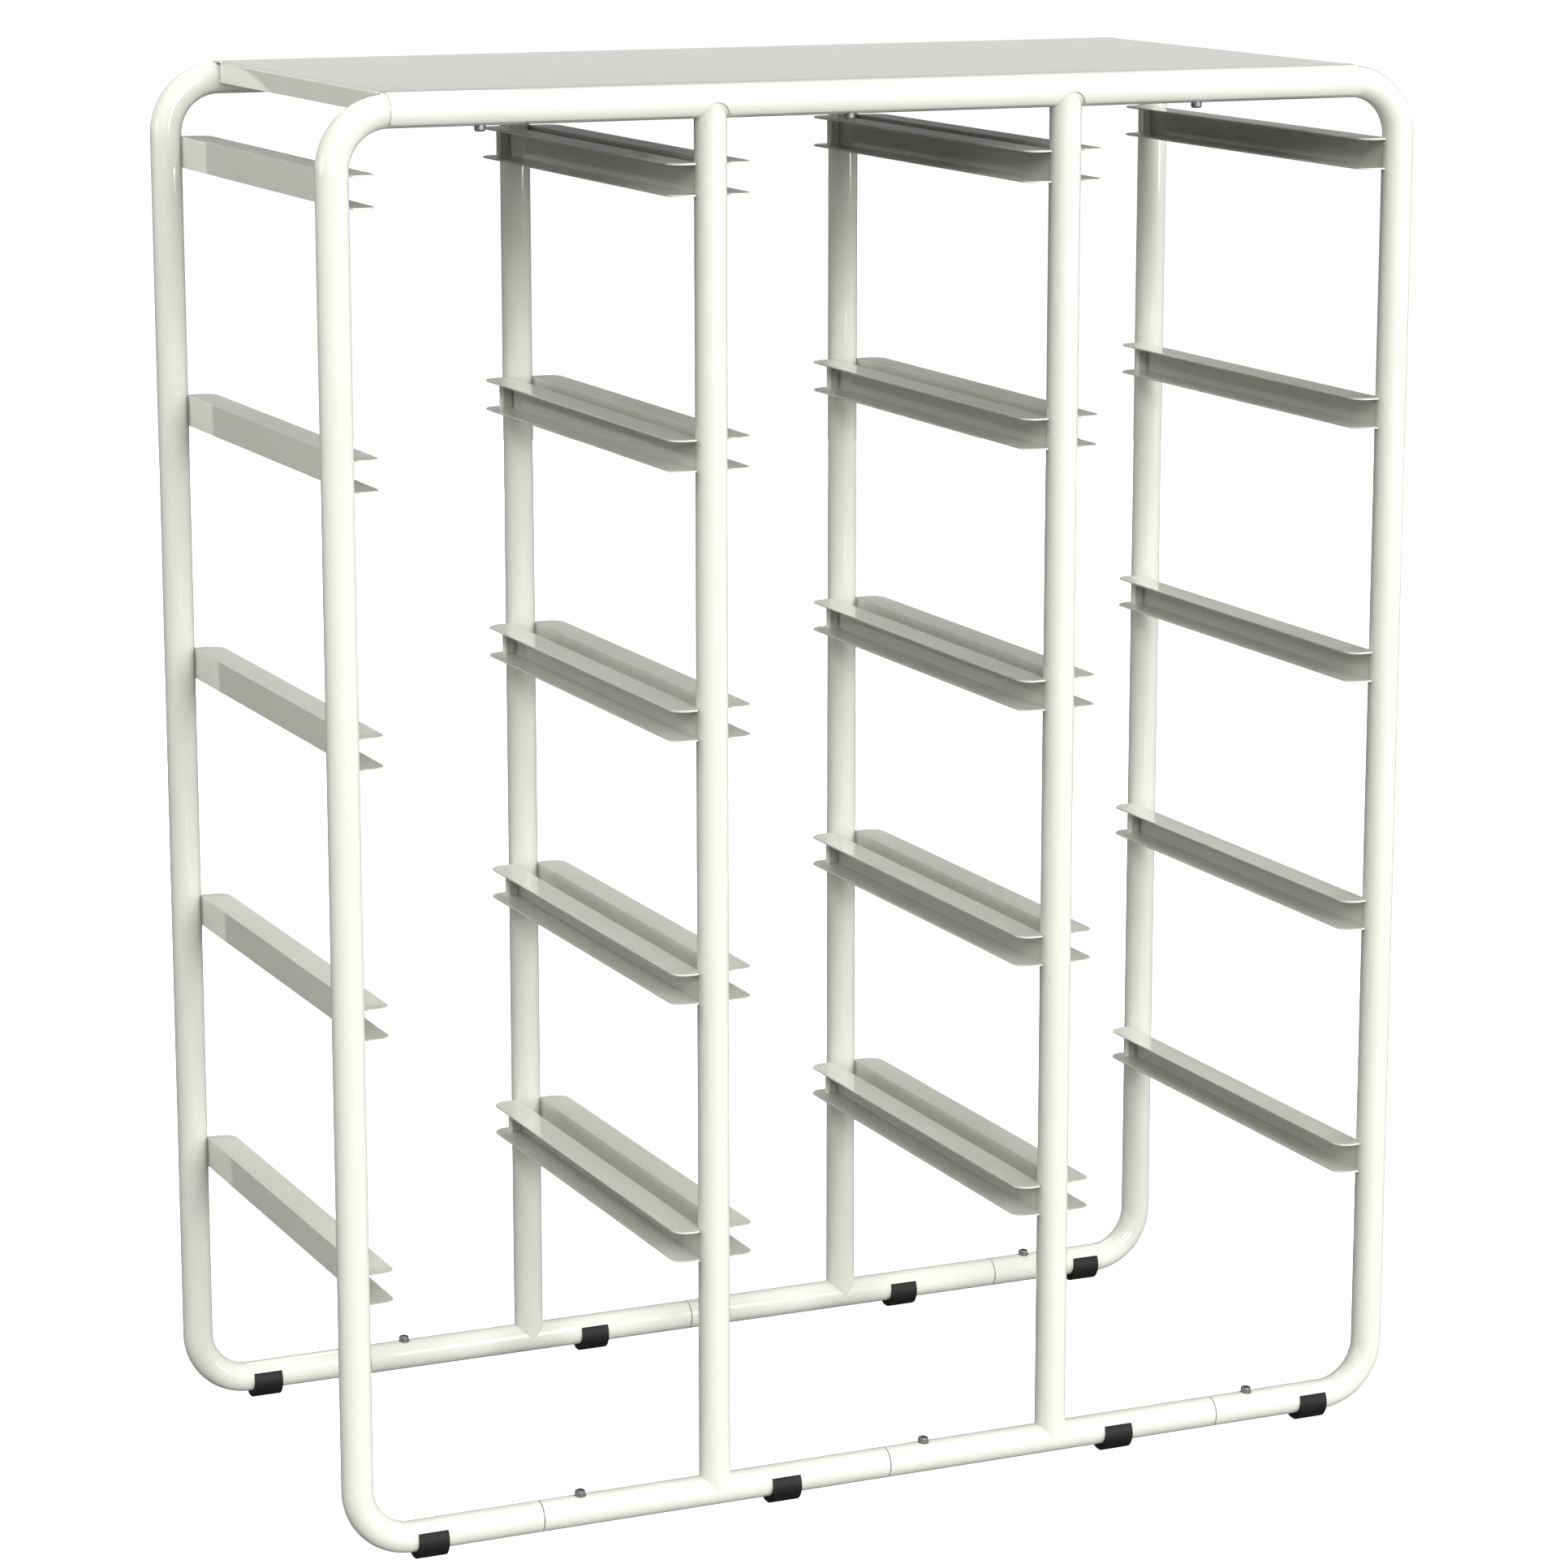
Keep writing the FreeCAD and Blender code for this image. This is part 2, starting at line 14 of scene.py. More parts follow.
import bmesh
import bpy
from bmesh.types import BMEdge, BMesh, BMFace, BMVert
from bpy.types import Material, Mesh, Node, NodeSocket, NodeTree, Object
from mathutils import Matrix, Vector

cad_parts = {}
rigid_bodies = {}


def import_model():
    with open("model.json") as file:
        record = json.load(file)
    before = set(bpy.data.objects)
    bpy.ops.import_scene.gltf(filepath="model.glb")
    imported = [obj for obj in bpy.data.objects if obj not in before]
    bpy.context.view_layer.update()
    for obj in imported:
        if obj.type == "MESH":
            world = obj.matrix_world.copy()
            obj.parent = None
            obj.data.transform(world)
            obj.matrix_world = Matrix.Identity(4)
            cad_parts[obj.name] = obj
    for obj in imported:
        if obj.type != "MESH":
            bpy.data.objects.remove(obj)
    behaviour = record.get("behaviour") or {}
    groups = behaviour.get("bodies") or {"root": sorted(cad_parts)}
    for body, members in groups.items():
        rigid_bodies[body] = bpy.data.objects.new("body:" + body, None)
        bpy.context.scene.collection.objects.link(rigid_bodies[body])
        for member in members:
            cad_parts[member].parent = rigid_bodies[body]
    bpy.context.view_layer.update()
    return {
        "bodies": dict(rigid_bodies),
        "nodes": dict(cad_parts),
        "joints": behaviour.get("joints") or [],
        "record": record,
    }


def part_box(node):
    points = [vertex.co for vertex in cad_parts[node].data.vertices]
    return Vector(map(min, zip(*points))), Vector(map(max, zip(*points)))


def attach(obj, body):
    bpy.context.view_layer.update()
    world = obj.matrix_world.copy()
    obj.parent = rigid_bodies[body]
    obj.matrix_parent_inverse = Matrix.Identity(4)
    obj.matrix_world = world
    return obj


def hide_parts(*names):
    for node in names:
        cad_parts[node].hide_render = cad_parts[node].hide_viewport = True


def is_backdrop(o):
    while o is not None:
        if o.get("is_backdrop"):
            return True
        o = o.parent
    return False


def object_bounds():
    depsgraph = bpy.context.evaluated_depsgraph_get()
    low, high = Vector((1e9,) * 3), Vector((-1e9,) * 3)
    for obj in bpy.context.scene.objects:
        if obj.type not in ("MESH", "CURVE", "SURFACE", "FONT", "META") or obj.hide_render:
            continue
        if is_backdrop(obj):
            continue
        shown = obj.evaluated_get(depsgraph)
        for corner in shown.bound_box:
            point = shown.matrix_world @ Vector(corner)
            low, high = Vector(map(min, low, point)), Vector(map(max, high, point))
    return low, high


LOG = logging.getLogger("rack")
MM = 0.001
TOLERANCE = 1e-6
BODY = "root"
ROUND_SIDES = 64
SMOOTH_ANGLE = math.radians(34)
CORNER_ANGLE = math.radians(60)
QUARTER = math.radians(90)
EDGE_STEPS = 2
LARGE_FACES_RULE = 100
BAYS = ("left", "middle", "right")
LEVELS = (1, 2, 3, 4, 5)

# The colour sockets of a Mix node
MIX_A = 6
MIX_B = 7
MIX_RESULT = 2

Edges = list[BMEdge]


class Side(Enum):
    """The side of the rack, a frame or a bay, with the sign of X that points away from it."""

    LEFT = 1
    RIGHT = -1

    @property
    def word(self) -> str:
        """The side's name as the CAD nodes spell it."""
        return self.name.lower()


class Frame(Enum):
    """The front or the back frame of tubes."""

    FRONT = "front"
    BACK = "back"


class Slot(Enum):
    """The record's material slots."""

    COAT = "white_powder_coat"
    PLASTIC = "black_plastic"
    ZINC = "zinc_plate"


def linear(code: str) -> tuple[float, float, float, float]:
    """Turns an sRGB hex colour to linear light.

    Args:
        code: The colour as "#RRGGBB".

    Returns:
        Red, green, blue and an alpha of 1.
    """
    channels = [int(code[start : start + 2], 16) / 255 for start in (1, 3, 5)]
    light = [c / 12.92 if c <= 0.04045 else ((c + 0.055) / 1.055) ** 2.4 for c in channels]
    return (*light, 1.0)


def add_node(tree: NodeTree, kind: str, inputs: dict | None = None, **settings: Any) -> Node:
    """Adds a node to a tree.

    Args:
        tree: The node tree.
        kind: The node's type.
        inputs: Values, or other nodes' outputs, for the node's inputs by name or number.
        settings: Values for the node's own properties.

    Returns:
        The node.
    """
    node = tree.nodes.new(kind)
    for name, value in settings.items():
        setattr(node, name, value)
    for key, value in (inputs or {}).items():
        if isinstance(value, NodeSocket):
            tree.links.new(value, node.inputs[key])
        else:
            node.inputs[key].default_value = value
    return node


def new_material(name: str) -> tuple[Material, NodeTree, NodeSocket]:
    """Starts a material from nothing.

    Args:
        name: The material's name.

    Returns:
        The material, its node tree and its object coordinates.
    """
    material = bpy.data.materials.new(name)
    material.use_nodes = True
    tree = material.node_tree
    tree.nodes.clear()
    place = add_node(tree, "ShaderNodeTexCoord").outputs["Object"]
    return material, tree, place


def per_metre(size_mm: float) -> float:
    """Gives the texture scale at which a pattern repeats once in a size in millimetres."""
    return 1 / (size_mm * MM)


@dataclass(frozen=True)
class PowderCoat:
    """Gloss polyester powder, sprayed and baked on steel."""

    # The eye sees a thick warm white skin with sharp reflections. The melt leaves a faint orange peel in
    # them, and the film's thickness moves the white a little.
    name: str = "white_polyester_powder_coat"
    thick_film: str = "#F0F0E7"
    thin_film: str = "#EAEAE0"
    film_patch_mm: float = 70.0
    peel_mm: float = 3.2
    peel_depth_mm: float = 0.0015
    roughness: float = 0.045
    ior: float = 1.5

    def material(self) -> Material:
        """Builds the finish from nodes.

        Returns:
            The material.
        """
        material, tree, place = new_material(self.name)
        patch = per_metre(self.film_patch_mm)
        film = add_node(tree, "ShaderNodeTexNoise", {"Vector": place, "Scale": patch, "Detail": 2.0})
        white = add_node(
            tree,
            "ShaderNodeMix",
            {"Factor": film.outputs["Fac"], MIX_A: linear(self.thin_film), MIX_B: linear(self.thick_film)},
            data_type="RGBA",
        )
        peel = add_node(
            tree, "ShaderNodeTexNoise", {"Vector": place, "Scale": per_metre(self.peel_mm), "Detail": 1.0}
        )
        bump = add_node(
            tree,
            "ShaderNodeBump",
            {"Height": peel.outputs["Fac"], "Distance": self.peel_depth_mm * MM, "Strength": 1.0},
        )
        shader = add_node(
            tree,
            "ShaderNodeBsdfPrincipled",
            {
                "Base Color": white.outputs[MIX_RESULT],
                "Roughness": self.roughness,
                "IOR": self.ior,
                "Normal": bump.outputs["Normal"],
            },
        )
        add_node(tree, "ShaderNodeOutputMaterial", {"Surface": shader.outputs["BSDF"]})
        return material


@dataclass(frozen=True)
class MouldedPlastic:
    """Black polypropylene from a spark-eroded mould."""

    # The eye sees a dull black with a fine even grain and slight flow marks. Real grain is about 0.1 mm
    # across, and is drawn coarser so that it shows.
    name: str = "black_polypropylene_moulded"
    body: str = "#0F0F0F"
    flow: str = "#171716"
    grain_mm: float = 0.7
    grain_depth_mm: float = 0.02
    flow_mm: float = 9.0
    roughness: float = 0.6
    ior: float = 1.42

    def material(self) -> Material:
        """Builds the finish from nodes.

        Returns:
            The material.
        """
        material, tree, place = new_material(self.name)
        flow = add_node(
            tree, "ShaderNodeTexNoise", {"Vector": place, "Scale": per_metre(self.flow_mm), "Detail": 3.0}
        )
        black = add_node(
            tree,
            "ShaderNodeMix",
            {"Factor": flow.outputs["Fac"], MIX_A: linear(self.body), MIX_B: linear(self.flow)},
            data_type="RGBA",
        )
        grain = add_node(
            tree, "ShaderNodeTexNoise", {"Vector": place, "Scale": per_metre(self.grain_mm), "Detail": 1.0}
        )
        bump = add_node(
            tree,
            "ShaderNodeBump",
            {"Height": grain.outputs["Fac"], "Distance": self.grain_depth_mm * MM, "Strength": 1.0},
        )
        shader = add_node(
            tree,
            "ShaderNodeBsdfPrincipled",
            {
                "Base Color": black.outputs[MIX_RESULT],
                "Roughness": self.roughness,
                "IOR": self.ior,
                "Normal": bump.outputs["Normal"],
            },
        )
        add_node(tree, "ShaderNodeOutputMaterial", {"Surface": shader.outputs["BSDF"]})
        return material


@dataclass(frozen=True)
class PlatedSteel:
    """Steel with a thin metal skin or none, broken up by its crystals or drawing marks."""

    name: str
    bright: str
    dull: str
    crystal_mm: float
    smooth: float
    rough: float

    def material(self) -> Material:
        """Builds the finish from nodes.

        Returns:
            The material.
        """
        material, tree, place = new_material(self.name)
        crystal = add_node(
            tree, "ShaderNodeTexNoise", {"Vector": place, "Scale": per_metre(self.crystal_mm), "Detail": 4.0}
        )
        grey = add_node(
            tree,
            "ShaderNodeMix",
            {"Factor": crystal.outputs["Fac"], MIX_A: linear(self.dull), MIX_B: linear(self.bright)},
            data_type="RGBA",
        )
        gloss = add_node(
            tree,
            "ShaderNodeMapRange",
            {"Value": crystal.outputs["Fac"], "To Min": self.rough, "To Max": self.smooth},
        )
        shader = add_node(
            tree,
            "ShaderNodeBsdfPrincipled",
            {"Base Color": grey.outputs[MIX_RESULT], "Roughness": gloss.outputs["Result"], "Metallic": 1.0},
        )
        add_node(tree, "ShaderNodeOutputMaterial", {"Surface": shader.outputs["BSDF"]})
        return material


@dataclass(frozen=True)
class PaperSweep:
    """Matt white background paper, evenly lit."""

    # The eye sees an even white without a horizon. The fibres are too fine to show, and are drawn as wide
    # faint clouds.
    name: str = "matt_white_paper"
    bright: str = "#FCFCFB"
    dull: str = "#FAFAF9"
    cloud_mm: float = 40.0
    roughness: float = 0.9
    ior: float = 1.3
    glow: float = 1.0

    def material(self) -> Material:
        """Builds the finish from nodes.

        Returns:
            The material.
        """
        material, tree, place = new_material(self.name)
        fibre = add_node(
            tree, "ShaderNodeTexNoise", {"Vector": place, "Scale": per_metre(self.cloud_mm), "Detail": 3.0}
        )
        pale = add_node(
            tree,
            "ShaderNodeMix",
            {"Factor": fibre.outputs["Fac"], MIX_A: linear(self.dull), MIX_B: linear(self.bright)},
            data_type="RGBA",
        )
        shader = add_node(
            tree,
            "ShaderNodeBsdfPrincipled",
            {
                "Base Color": pale.outputs[MIX_RESULT],
                "Roughness": self.roughness,
                "IOR": self.ior,
                "Emission Color": linear("#FFFFFF"),
                "Emission Strength": self.glow,
            },
        )
        add_node(tree, "ShaderNodeOutputMaterial", {"Surface": shader.outputs["BSDF"]})
        return material


# Zinc's fine crystals give a satin grey with soft, broken highlights. They are drawn coarse enough to show.
ZINC_PLATE = PlatedSteel("zinc_plated_steel", "#A9ADAC", "#7F8483", crystal_mm=1.2, smooth=0.4, rough=0.55)
# On a bare tube the die leaves a darker, uneven sheen.
DRAWN_STEEL = PlatedSteel("drawn_steel_tube", "#A2A3A4", "#7C7D7F", crystal_mm=2.0, smooth=0.3, rough=0.5)


def same(a: float, b: float) -> bool:
    """Tells whether two lengths are equal, apart from rounding."""
    return math.isclose(a, b, abs_tol=TOLERANCE)


def unique(items: Iterable[Any]) -> list[Any]:
    """Drops repeats and keeps the order, which a set would change from run to run."""
    return list(dict.fromkeys(items))


def verts_in(geom: Iterable[Any]) -> list[BMVert]:
    """Picks the vertices out of an operator's result."""
    return [item for item in geom if isinstance(item, BMVert)]


def edges_in(geom: Iterable[Any]) -> Edges:
    """Picks the edges out of an operator's result."""
    return [item for item in geom if isinstance(item, BMEdge)]


def extrude_line(bm: BMesh, edges: Edges, move: Vector) -> Edges:
    """Extrudes a line or ring of edges into a strip of faces.

    Args:
        bm: The mesh.
        edges: The edges to extrude.
        move: How far, and which way.

    Returns:
        The edges on the strip's far side.
    """
    made = bmesh.ops.extrude_edge_only(bm, edges=edges)["geom"]
    fresh = verts_in(made)
    bmesh.ops.translate(bm, verts=fresh, vec=move)
    known = set(fresh)
    return [edge for edge in edges_in(made) if known.issuperset(edge.verts)]


def extrude_faces(bm: BMesh, faces: list[BMFace], move: Vector) -> None:
    """Extrudes flat faces into a block.

    Args:
        bm: The mesh.
        faces: The faces to extrude.
        move: How far, and which way.
    """
    raised = bmesh.ops.extrude_face_region(bm, geom=faces)["geom"]
    bmesh.ops.translate(bm, verts=verts_in(raised), vec=move)


def spin(bm: BMesh, geom: list[Any], centre: Vector, axis: Vector, angle: float, steps: int) -> list[Any]:
    """Spins a vertex into an arc, or a line or ring of edges into a curved strip of faces.

    Args:
        bm: The mesh.
        geom: The vertex or the edges.
        centre: A point on the axis.
        axis: The axis to spin about.
        angle: How far to spin, in radians.
        steps: The number of edges or faces along the curve.

    Returns:
        The vertices and edges at the curve's far end.
    """
    ends = unique(vert for edge in edges_in(geom) for vert in edge.verts)
    made = bmesh.ops.spin(
        bm, geom=[*ends, *geom], cent=centre, axis=axis, angle=angle, steps=steps, use_merge=False
    )
    return made["geom_last"]


def ring(bm: BMesh, radius: float, place: Matrix) -> Edges:
    """Adds a circle of edges.

    Args:
        bm: The mesh.
        radius: The circle's radius.
        place: Where it goes, with its axis along the matrix's Z.

    Returns:
        The circle's edges.
    """
    made = bmesh.ops.create_circle(bm, segments=ROUND_SIDES, radius=radius, matrix=place)
    return unique(edge for vert in made["verts"] for edge in vert.link_edges)


def plug(bm: BMesh, radius: float, length: float, place: Matrix, sides: int = ROUND_SIDES) -> None:
    """Adds a closed cylinder or prism.

    Args:
        bm: The mesh.
        radius: Its radius.
        length: Its length.
        place: Where its middle goes, with its axis along the matrix's Z.
        sides: The number of its sides.
    """
    bmesh.ops.create_cone(
        bm, cap_ends=True, segments=sides, radius1=radius, radius2=radius, depth=length, matrix=place
    )


def bevel_edges(bm: BMesh, edges: Edges, width: float, segments: int) -> None:
    """Rounds edges over.

    Args:
        bm: The mesh.
        edges: The edges.
        width: How far the rounding reaches from each edge.
        segments: The number of faces across the rounding.
    """
    bmesh.ops.bevel(
        bm,
        geom=edges,
        offset=width,
        segments=segments,
        profile=0.5,
        affect="EDGES",
        material=-1,
        clamp_overlap=True,
    )


def round_corners(bm: BMesh, corners: list[BMVert], radius: float, segments: int) -> None:
    """Rounds the corners of a flat face.

    Args:
        bm: The mesh.
        corners: The corner vertices.
        radius: How far the rounding reaches along each edge.
        segments: The number of edges round each corner.
    """
    bmesh.ops.bevel(
        bm, geom=corners, offset=radius, segments=segments, profile=0.5, affect="VERTICES", material=-1
    )


def to_mesh(bm: BMesh, name: str) -> Mesh:
    """Turns a bmesh into a mesh, smooth on its curves and sharp on its corners, and frees it.

    Args:
        bm: The finished bmesh.
        name: The mesh's name.

    Returns:
        The mesh.
    """
    mesh = bpy.data.meshes.new(name)
    bm.to_mesh(mesh)
    bm.free()
    mesh.shade_smooth()
    mesh.set_sharp_from_angle(angle=SMOOTH_ANGLE)
    return mesh


def to_object(mesh: Mesh, name: str) -> Object:
    """Puts a mesh in the scene as an object at the origin.

    Args:
        mesh: The mesh.
        name: The object's name.

    Returns:
        The object.
    """
    made = bpy.data.objects.new(name, mesh)
    bpy.context.scene.collection.objects.link(made)
    return made


def applied(thing: Object, name: str) -> Mesh:
    """Takes an object's mesh with its modifiers applied, and removes the object.

    Args:
        thing: The object.
        name: The new mesh's name.

    Returns:
        The mesh.
    """
    bpy.context.view_layer.update()
    graph = bpy.context.evaluated_depsgraph_get()
    mesh = bpy.data.meshes.new_from_object(thing.evaluated_get(graph))
    mesh.name = name
    bpy.data.objects.remove(thing)
    return mesh


def cut_away(mesh: Mesh, cutter: Mesh, name: str) -> Mesh:
    """Takes one closed mesh away from another.

    Args:
        mesh: The mesh to cut.
        cutter: The mesh to take away.
        name: The result's name.

    Returns:
        The cut mesh.
    """
    base = to_object(mesh, f"{name}_uncut")
    tool = to_object(cutter, f"{name}_cutter")
    boolean = base.modifiers.new("cut", "BOOLEAN")
    boolean.object = tool
    boolean.solver = "EXACT"
    result = applied(base, name)
    bpy.data.objects.remove(tool)
    return result


def thickened(mesh: Mesh, sheet: float, edge: float, name: str) -> Mesh:
    """Gives a surface the thickness of a sheet, inwards, with softened edges.

    Args:
        mesh: The sheet's outer surface.
        sheet: Its thickness.
        edge: The width of its edges' rounding.
        name: The result's name.

    Returns:
        The closed mesh.
    """
    base = to_object(mesh, f"{name}_surface")
    solid = base.modifiers.new("sheet", "SOLIDIFY")
    solid.thickness = sheet
    solid.offset = -1.0
    solid.use_even_offset = True
    soft = base.modifiers.new("edges", "BEVEL")
    soft.width = edge
    soft.segments = EDGE_STEPS
    soft.limit_method = "ANGLE"
    soft.angle_limit = CORNER_ANGLE
    return applied(base, name)


def copy_moved(mesh: Mesh, place: Matrix, bm: BMesh) -> None:
    """Adds a moved copy of a mesh to a bmesh.

    Args:
        mesh: The mesh to copy.
        place: Where the copy goes.
        bm: The bmesh that takes it.
    """
    known = set(bm.verts)
    bm.from_mesh(mesh)
    fresh = [vert for vert in bm.verts if vert not in known]
    bmesh.ops.transform(bm, matrix=place, verts=fresh)
    if place.determinant() < 0:
        faces = unique(face for vert in fresh for face in vert.link_faces)
        bmesh.ops.reverse_faces(bm, faces=faces)


def show(bm: BMesh, node: str, material: Material) -> None:
    """Puts a finished mesh in the scene in place of its CAD node.

    Args:
        bm: The finished bmesh.
        node: The CAD node that the piece stands for.
        material: Its finish.
    """
    name = f"{node}_finish"
    piece = to_object(to_mesh(bm, name), name)
    piece.data.materials.clear()
    piece.data.materials.append(material)
    weighted = piece.modifiers.new("even_shading", "WEIGHTED_NORMAL")
    weighted.keep_sharp = True
    weighted.weight = LARGE_FACES_RULE
    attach(piece, BODY)
    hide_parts(node)
    LOG.info("%s: %d faces", name, len(piece.data.polygons))


def runner_nodes() -> Iterator[tuple[str, Side]]:
    """Goes through the runners.

    Yields:
        Each runner's CAD node, and the side of its bay that it is on.
    """
    for bay in BAYS:
        for level in LEVELS:
            for side in Side:
                yield f"{bay}_bay_level_{level}_{side.word}_runner", side


@dataclass(frozen=True)
class Layout:
    """Where the rack's tubes run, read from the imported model."""

    tube_radius: float
    depth: dict[Frame, float]
    upright: tuple[float, ...]
    bottom_rail: float
    top_rail: float
    spigot_radius: float
    screw_offset: float

    @classmethod
    def from_frame(cls) -> "Layout":
        """Reads the layout from the boxes of the CAD nodes.

        Returns:
            The layout.
        """
        low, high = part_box("front_left_middle_upright")
        radius = (high.x - low.x) / 2
        depth = {frame: sum(c.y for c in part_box(f"{frame.value}_left_middle_upright")) / 2 for frame in Frame}
        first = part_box("front_left_end_tube")[0].x + radius
        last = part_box("front_right_end_tube")[1].x - radius
        middle = [sum(c.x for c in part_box(f"front_{s.word}_middle_upright")) / 2 for s in Side]
        bottom = sum(c.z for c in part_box("front_left_bottom_rail")) / 2
        top = sum(c.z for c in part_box("front_left_top_rail")) / 2
        low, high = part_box("front_joint_spigots")
        spigot_radius = (high.z - low.z - (top - bottom)) / 2
        low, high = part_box("front_joint_screws")
        last_seam = (middle[-1] + last) / 2
        offset = high.x - (high.y - low.y) / 2 - last_seam
        return cls(radius, depth, (first, *middle, last), bottom, top, spigot_radius, offset)

    def seams(self) -> list[float]:
        """Gives X of each rail seam, halfway between two uprights."""
        return [(left + right) / 2 for left, right in zip(self.upright, self.upright[1:])]

    def screw_places(self, frame: Frame) -> list[Matrix]:
        """Finds the joint screws' seats on the spigots.

        Args:
            frame: The frame that the screws are in.

        Returns:
            Each seat, with Z towards the head: up on the bottom rail, down on the top rail.
        """
        y = self.depth[frame]
        places = []
        for seam in self.seams():
            low = Vector((seam + self.screw_offset, y, self.bottom_rail + self.spigot_radius))
            over = Vector((seam - self.screw_offset, y, self.top_rail - self.spigot_radius))
            places += [Matrix.Translation(low), Matrix.Translation(over) @ Matrix.Rotation(math.pi, 4, "Y")]
        return places


ACROSS = Matrix.Rotation(QUARTER, 4, "Y")


@dataclass(frozen=True)
class TubeFrame:
    """One frame of bent and coped tubes, front or back."""

    frame: Frame
    layout: Layout
    coat: Material
    wall: float = 1.5 * MM
    bend_radius: float = 44.5 * MM
    bend_steps: int = 28
    rim_rounding: float = 0.2 * MM
    weld_sink: float = 0.05 * MM
    hole_radius: float = 4.9 * MM

    def build(self) -> None:
        """Builds the frame's end tubes, uprights and rails."""
        for index, side in enumerate(Side, start=1):
            self.end_tube(side)
            self.middle_upright(side, self.layout.upright[index])
            for position in ("bottom", "top"):
                self.rail(f"{self.frame.value}_{side.word}_{position}_rail")

    def finish(self, skin: BMesh, cutter: BMesh, node: str) -> None:
        """Gives a tube its wall, cuts it and shows it.

        Args:
            skin: The tube's outer surface, open at its ends.
            cutter: What is cut away from the tube.
            node: The CAD node that the tube stands for.
        """
        bmesh.ops.recalc_face_normals(skin, faces=skin.faces)
        tube = thickened(to_mesh(skin, f"{node}_skin"), self.wall, self.rim_rounding, f"{node}_tube")
        tube = cut_away(tube, to_mesh(cutter, f"{node}_cutter"), f"{node}_cut")
        bm = bmesh.new()
        bm.from_mesh(tube)
        show(bm, node, self.coat)

    def screw_holes(self, node: str) -> BMesh:
        """Makes the cutter for the holes in one tube that the screws' heads sink through.

        Args:
            node: The CAD node that the tube stands for.

        Returns:
            A plug at each screw that is in the tube.
        """
        low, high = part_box(node)
        depth = self.layout.tube_radius
        bm = bmesh.new()
        for place in self.layout.screw_places(self.frame):
            seat = place.translation
            if all(a < b < c for a, b, c in zip(low, seat, high)):
                plug(bm, self.hole_radius, depth, place @ Matrix.Translation((0, 0, depth / 2 - self.wall)))
        return bm

    def end_tube(self, side: Side) -> None:
        """Builds a corner tube: an upright, two bends and two stubs of rail.

        Args:
            side: The side of the rack.
        """
        node = f"{self.frame.value}_{side.word}_end_tube"
        low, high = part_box(node)
        radius = self.layout.tube_radius
        y = self.layout.depth[self.frame]
        axis_x = low.x + radius if side is Side.LEFT else high.x - radius
        stub_x = high.x if side is Side.LEFT else low.x
        bottom, top = self.layout.bottom_rail, self.layout.top_rail
        bend_x = axis_x + side.value * self.bend_radius
        low_bend = Vector((bend_x, y, bottom + self.bend_radius))
        high_bend = Vector((bend_x, y, top - self.bend_radius))
        straight = Vector((bend_x - stub_x, 0, 0))
        rise = Vector((0, 0, top - bottom - 2 * self.bend_radius))
        turn = side.value * QUARTER
        axis = Vector((0, 1, 0))
        bm = bmesh.new()
        line = ring(bm, radius, Matrix.Translation((stub_x, y, bottom)) @ ACROSS)
        line = extrude_line(bm, line, straight)
        line = edges_in(spin(bm, line, low_bend, axis, turn, self.bend_steps))
        line = extrude_line(bm, line, rise)
        line = edges_in(spin(bm, line, high_bend, axis, turn, self.bend_steps))
        extrude_line(bm, line, -straight)
        self.finish(bm, self.screw_holes(node), node)

    def middle_upright(self, side: Side, x: float) -> None:
        """Builds an upright whose ends are coped to the rails.

        Args:
            side: The side of the frame.
            x: The upright's place along the rails.
        """
        node = f"{self.frame.value}_{side.word}_middle_upright"
        y = self.layout.depth[self.frame]
        bottom, top = self.layout.bottom_rail, self.layout.top_rail
        radius = self.layout.tube_radius
        bm = bmesh.new()
        line = ring(bm, radius, Matrix.Translation((x, y, bottom)))
        extrude_line(bm, line, Vector((0, 0, top - bottom)))
        copes = bmesh.new()
        past_tube = 4 * radius
        for z in (bottom, top):
            plug(copes, radius - self.weld_sink, past_tube, Matrix.Translation((x, y, z)) @ ACROSS)
        self.finish(bm, copes, node)

    def rail(self, node: str) -> None:
        """Builds a straight rail piece between two seams.

        Args:
            node: The CAD node that the rail stands for.
        """
        low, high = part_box(node)
        middle = (low + high) / 2
        bm = bmesh.new()
        line = ring(bm, self.layout.tube_radius, Matrix.Translation((low.x, middle.y, middle.z)) @ ACROSS)
        extrude_line(bm, line, Vector((high.x - low.x, 0, 0)))
        self.finish(bm, self.screw_holes(node), node)


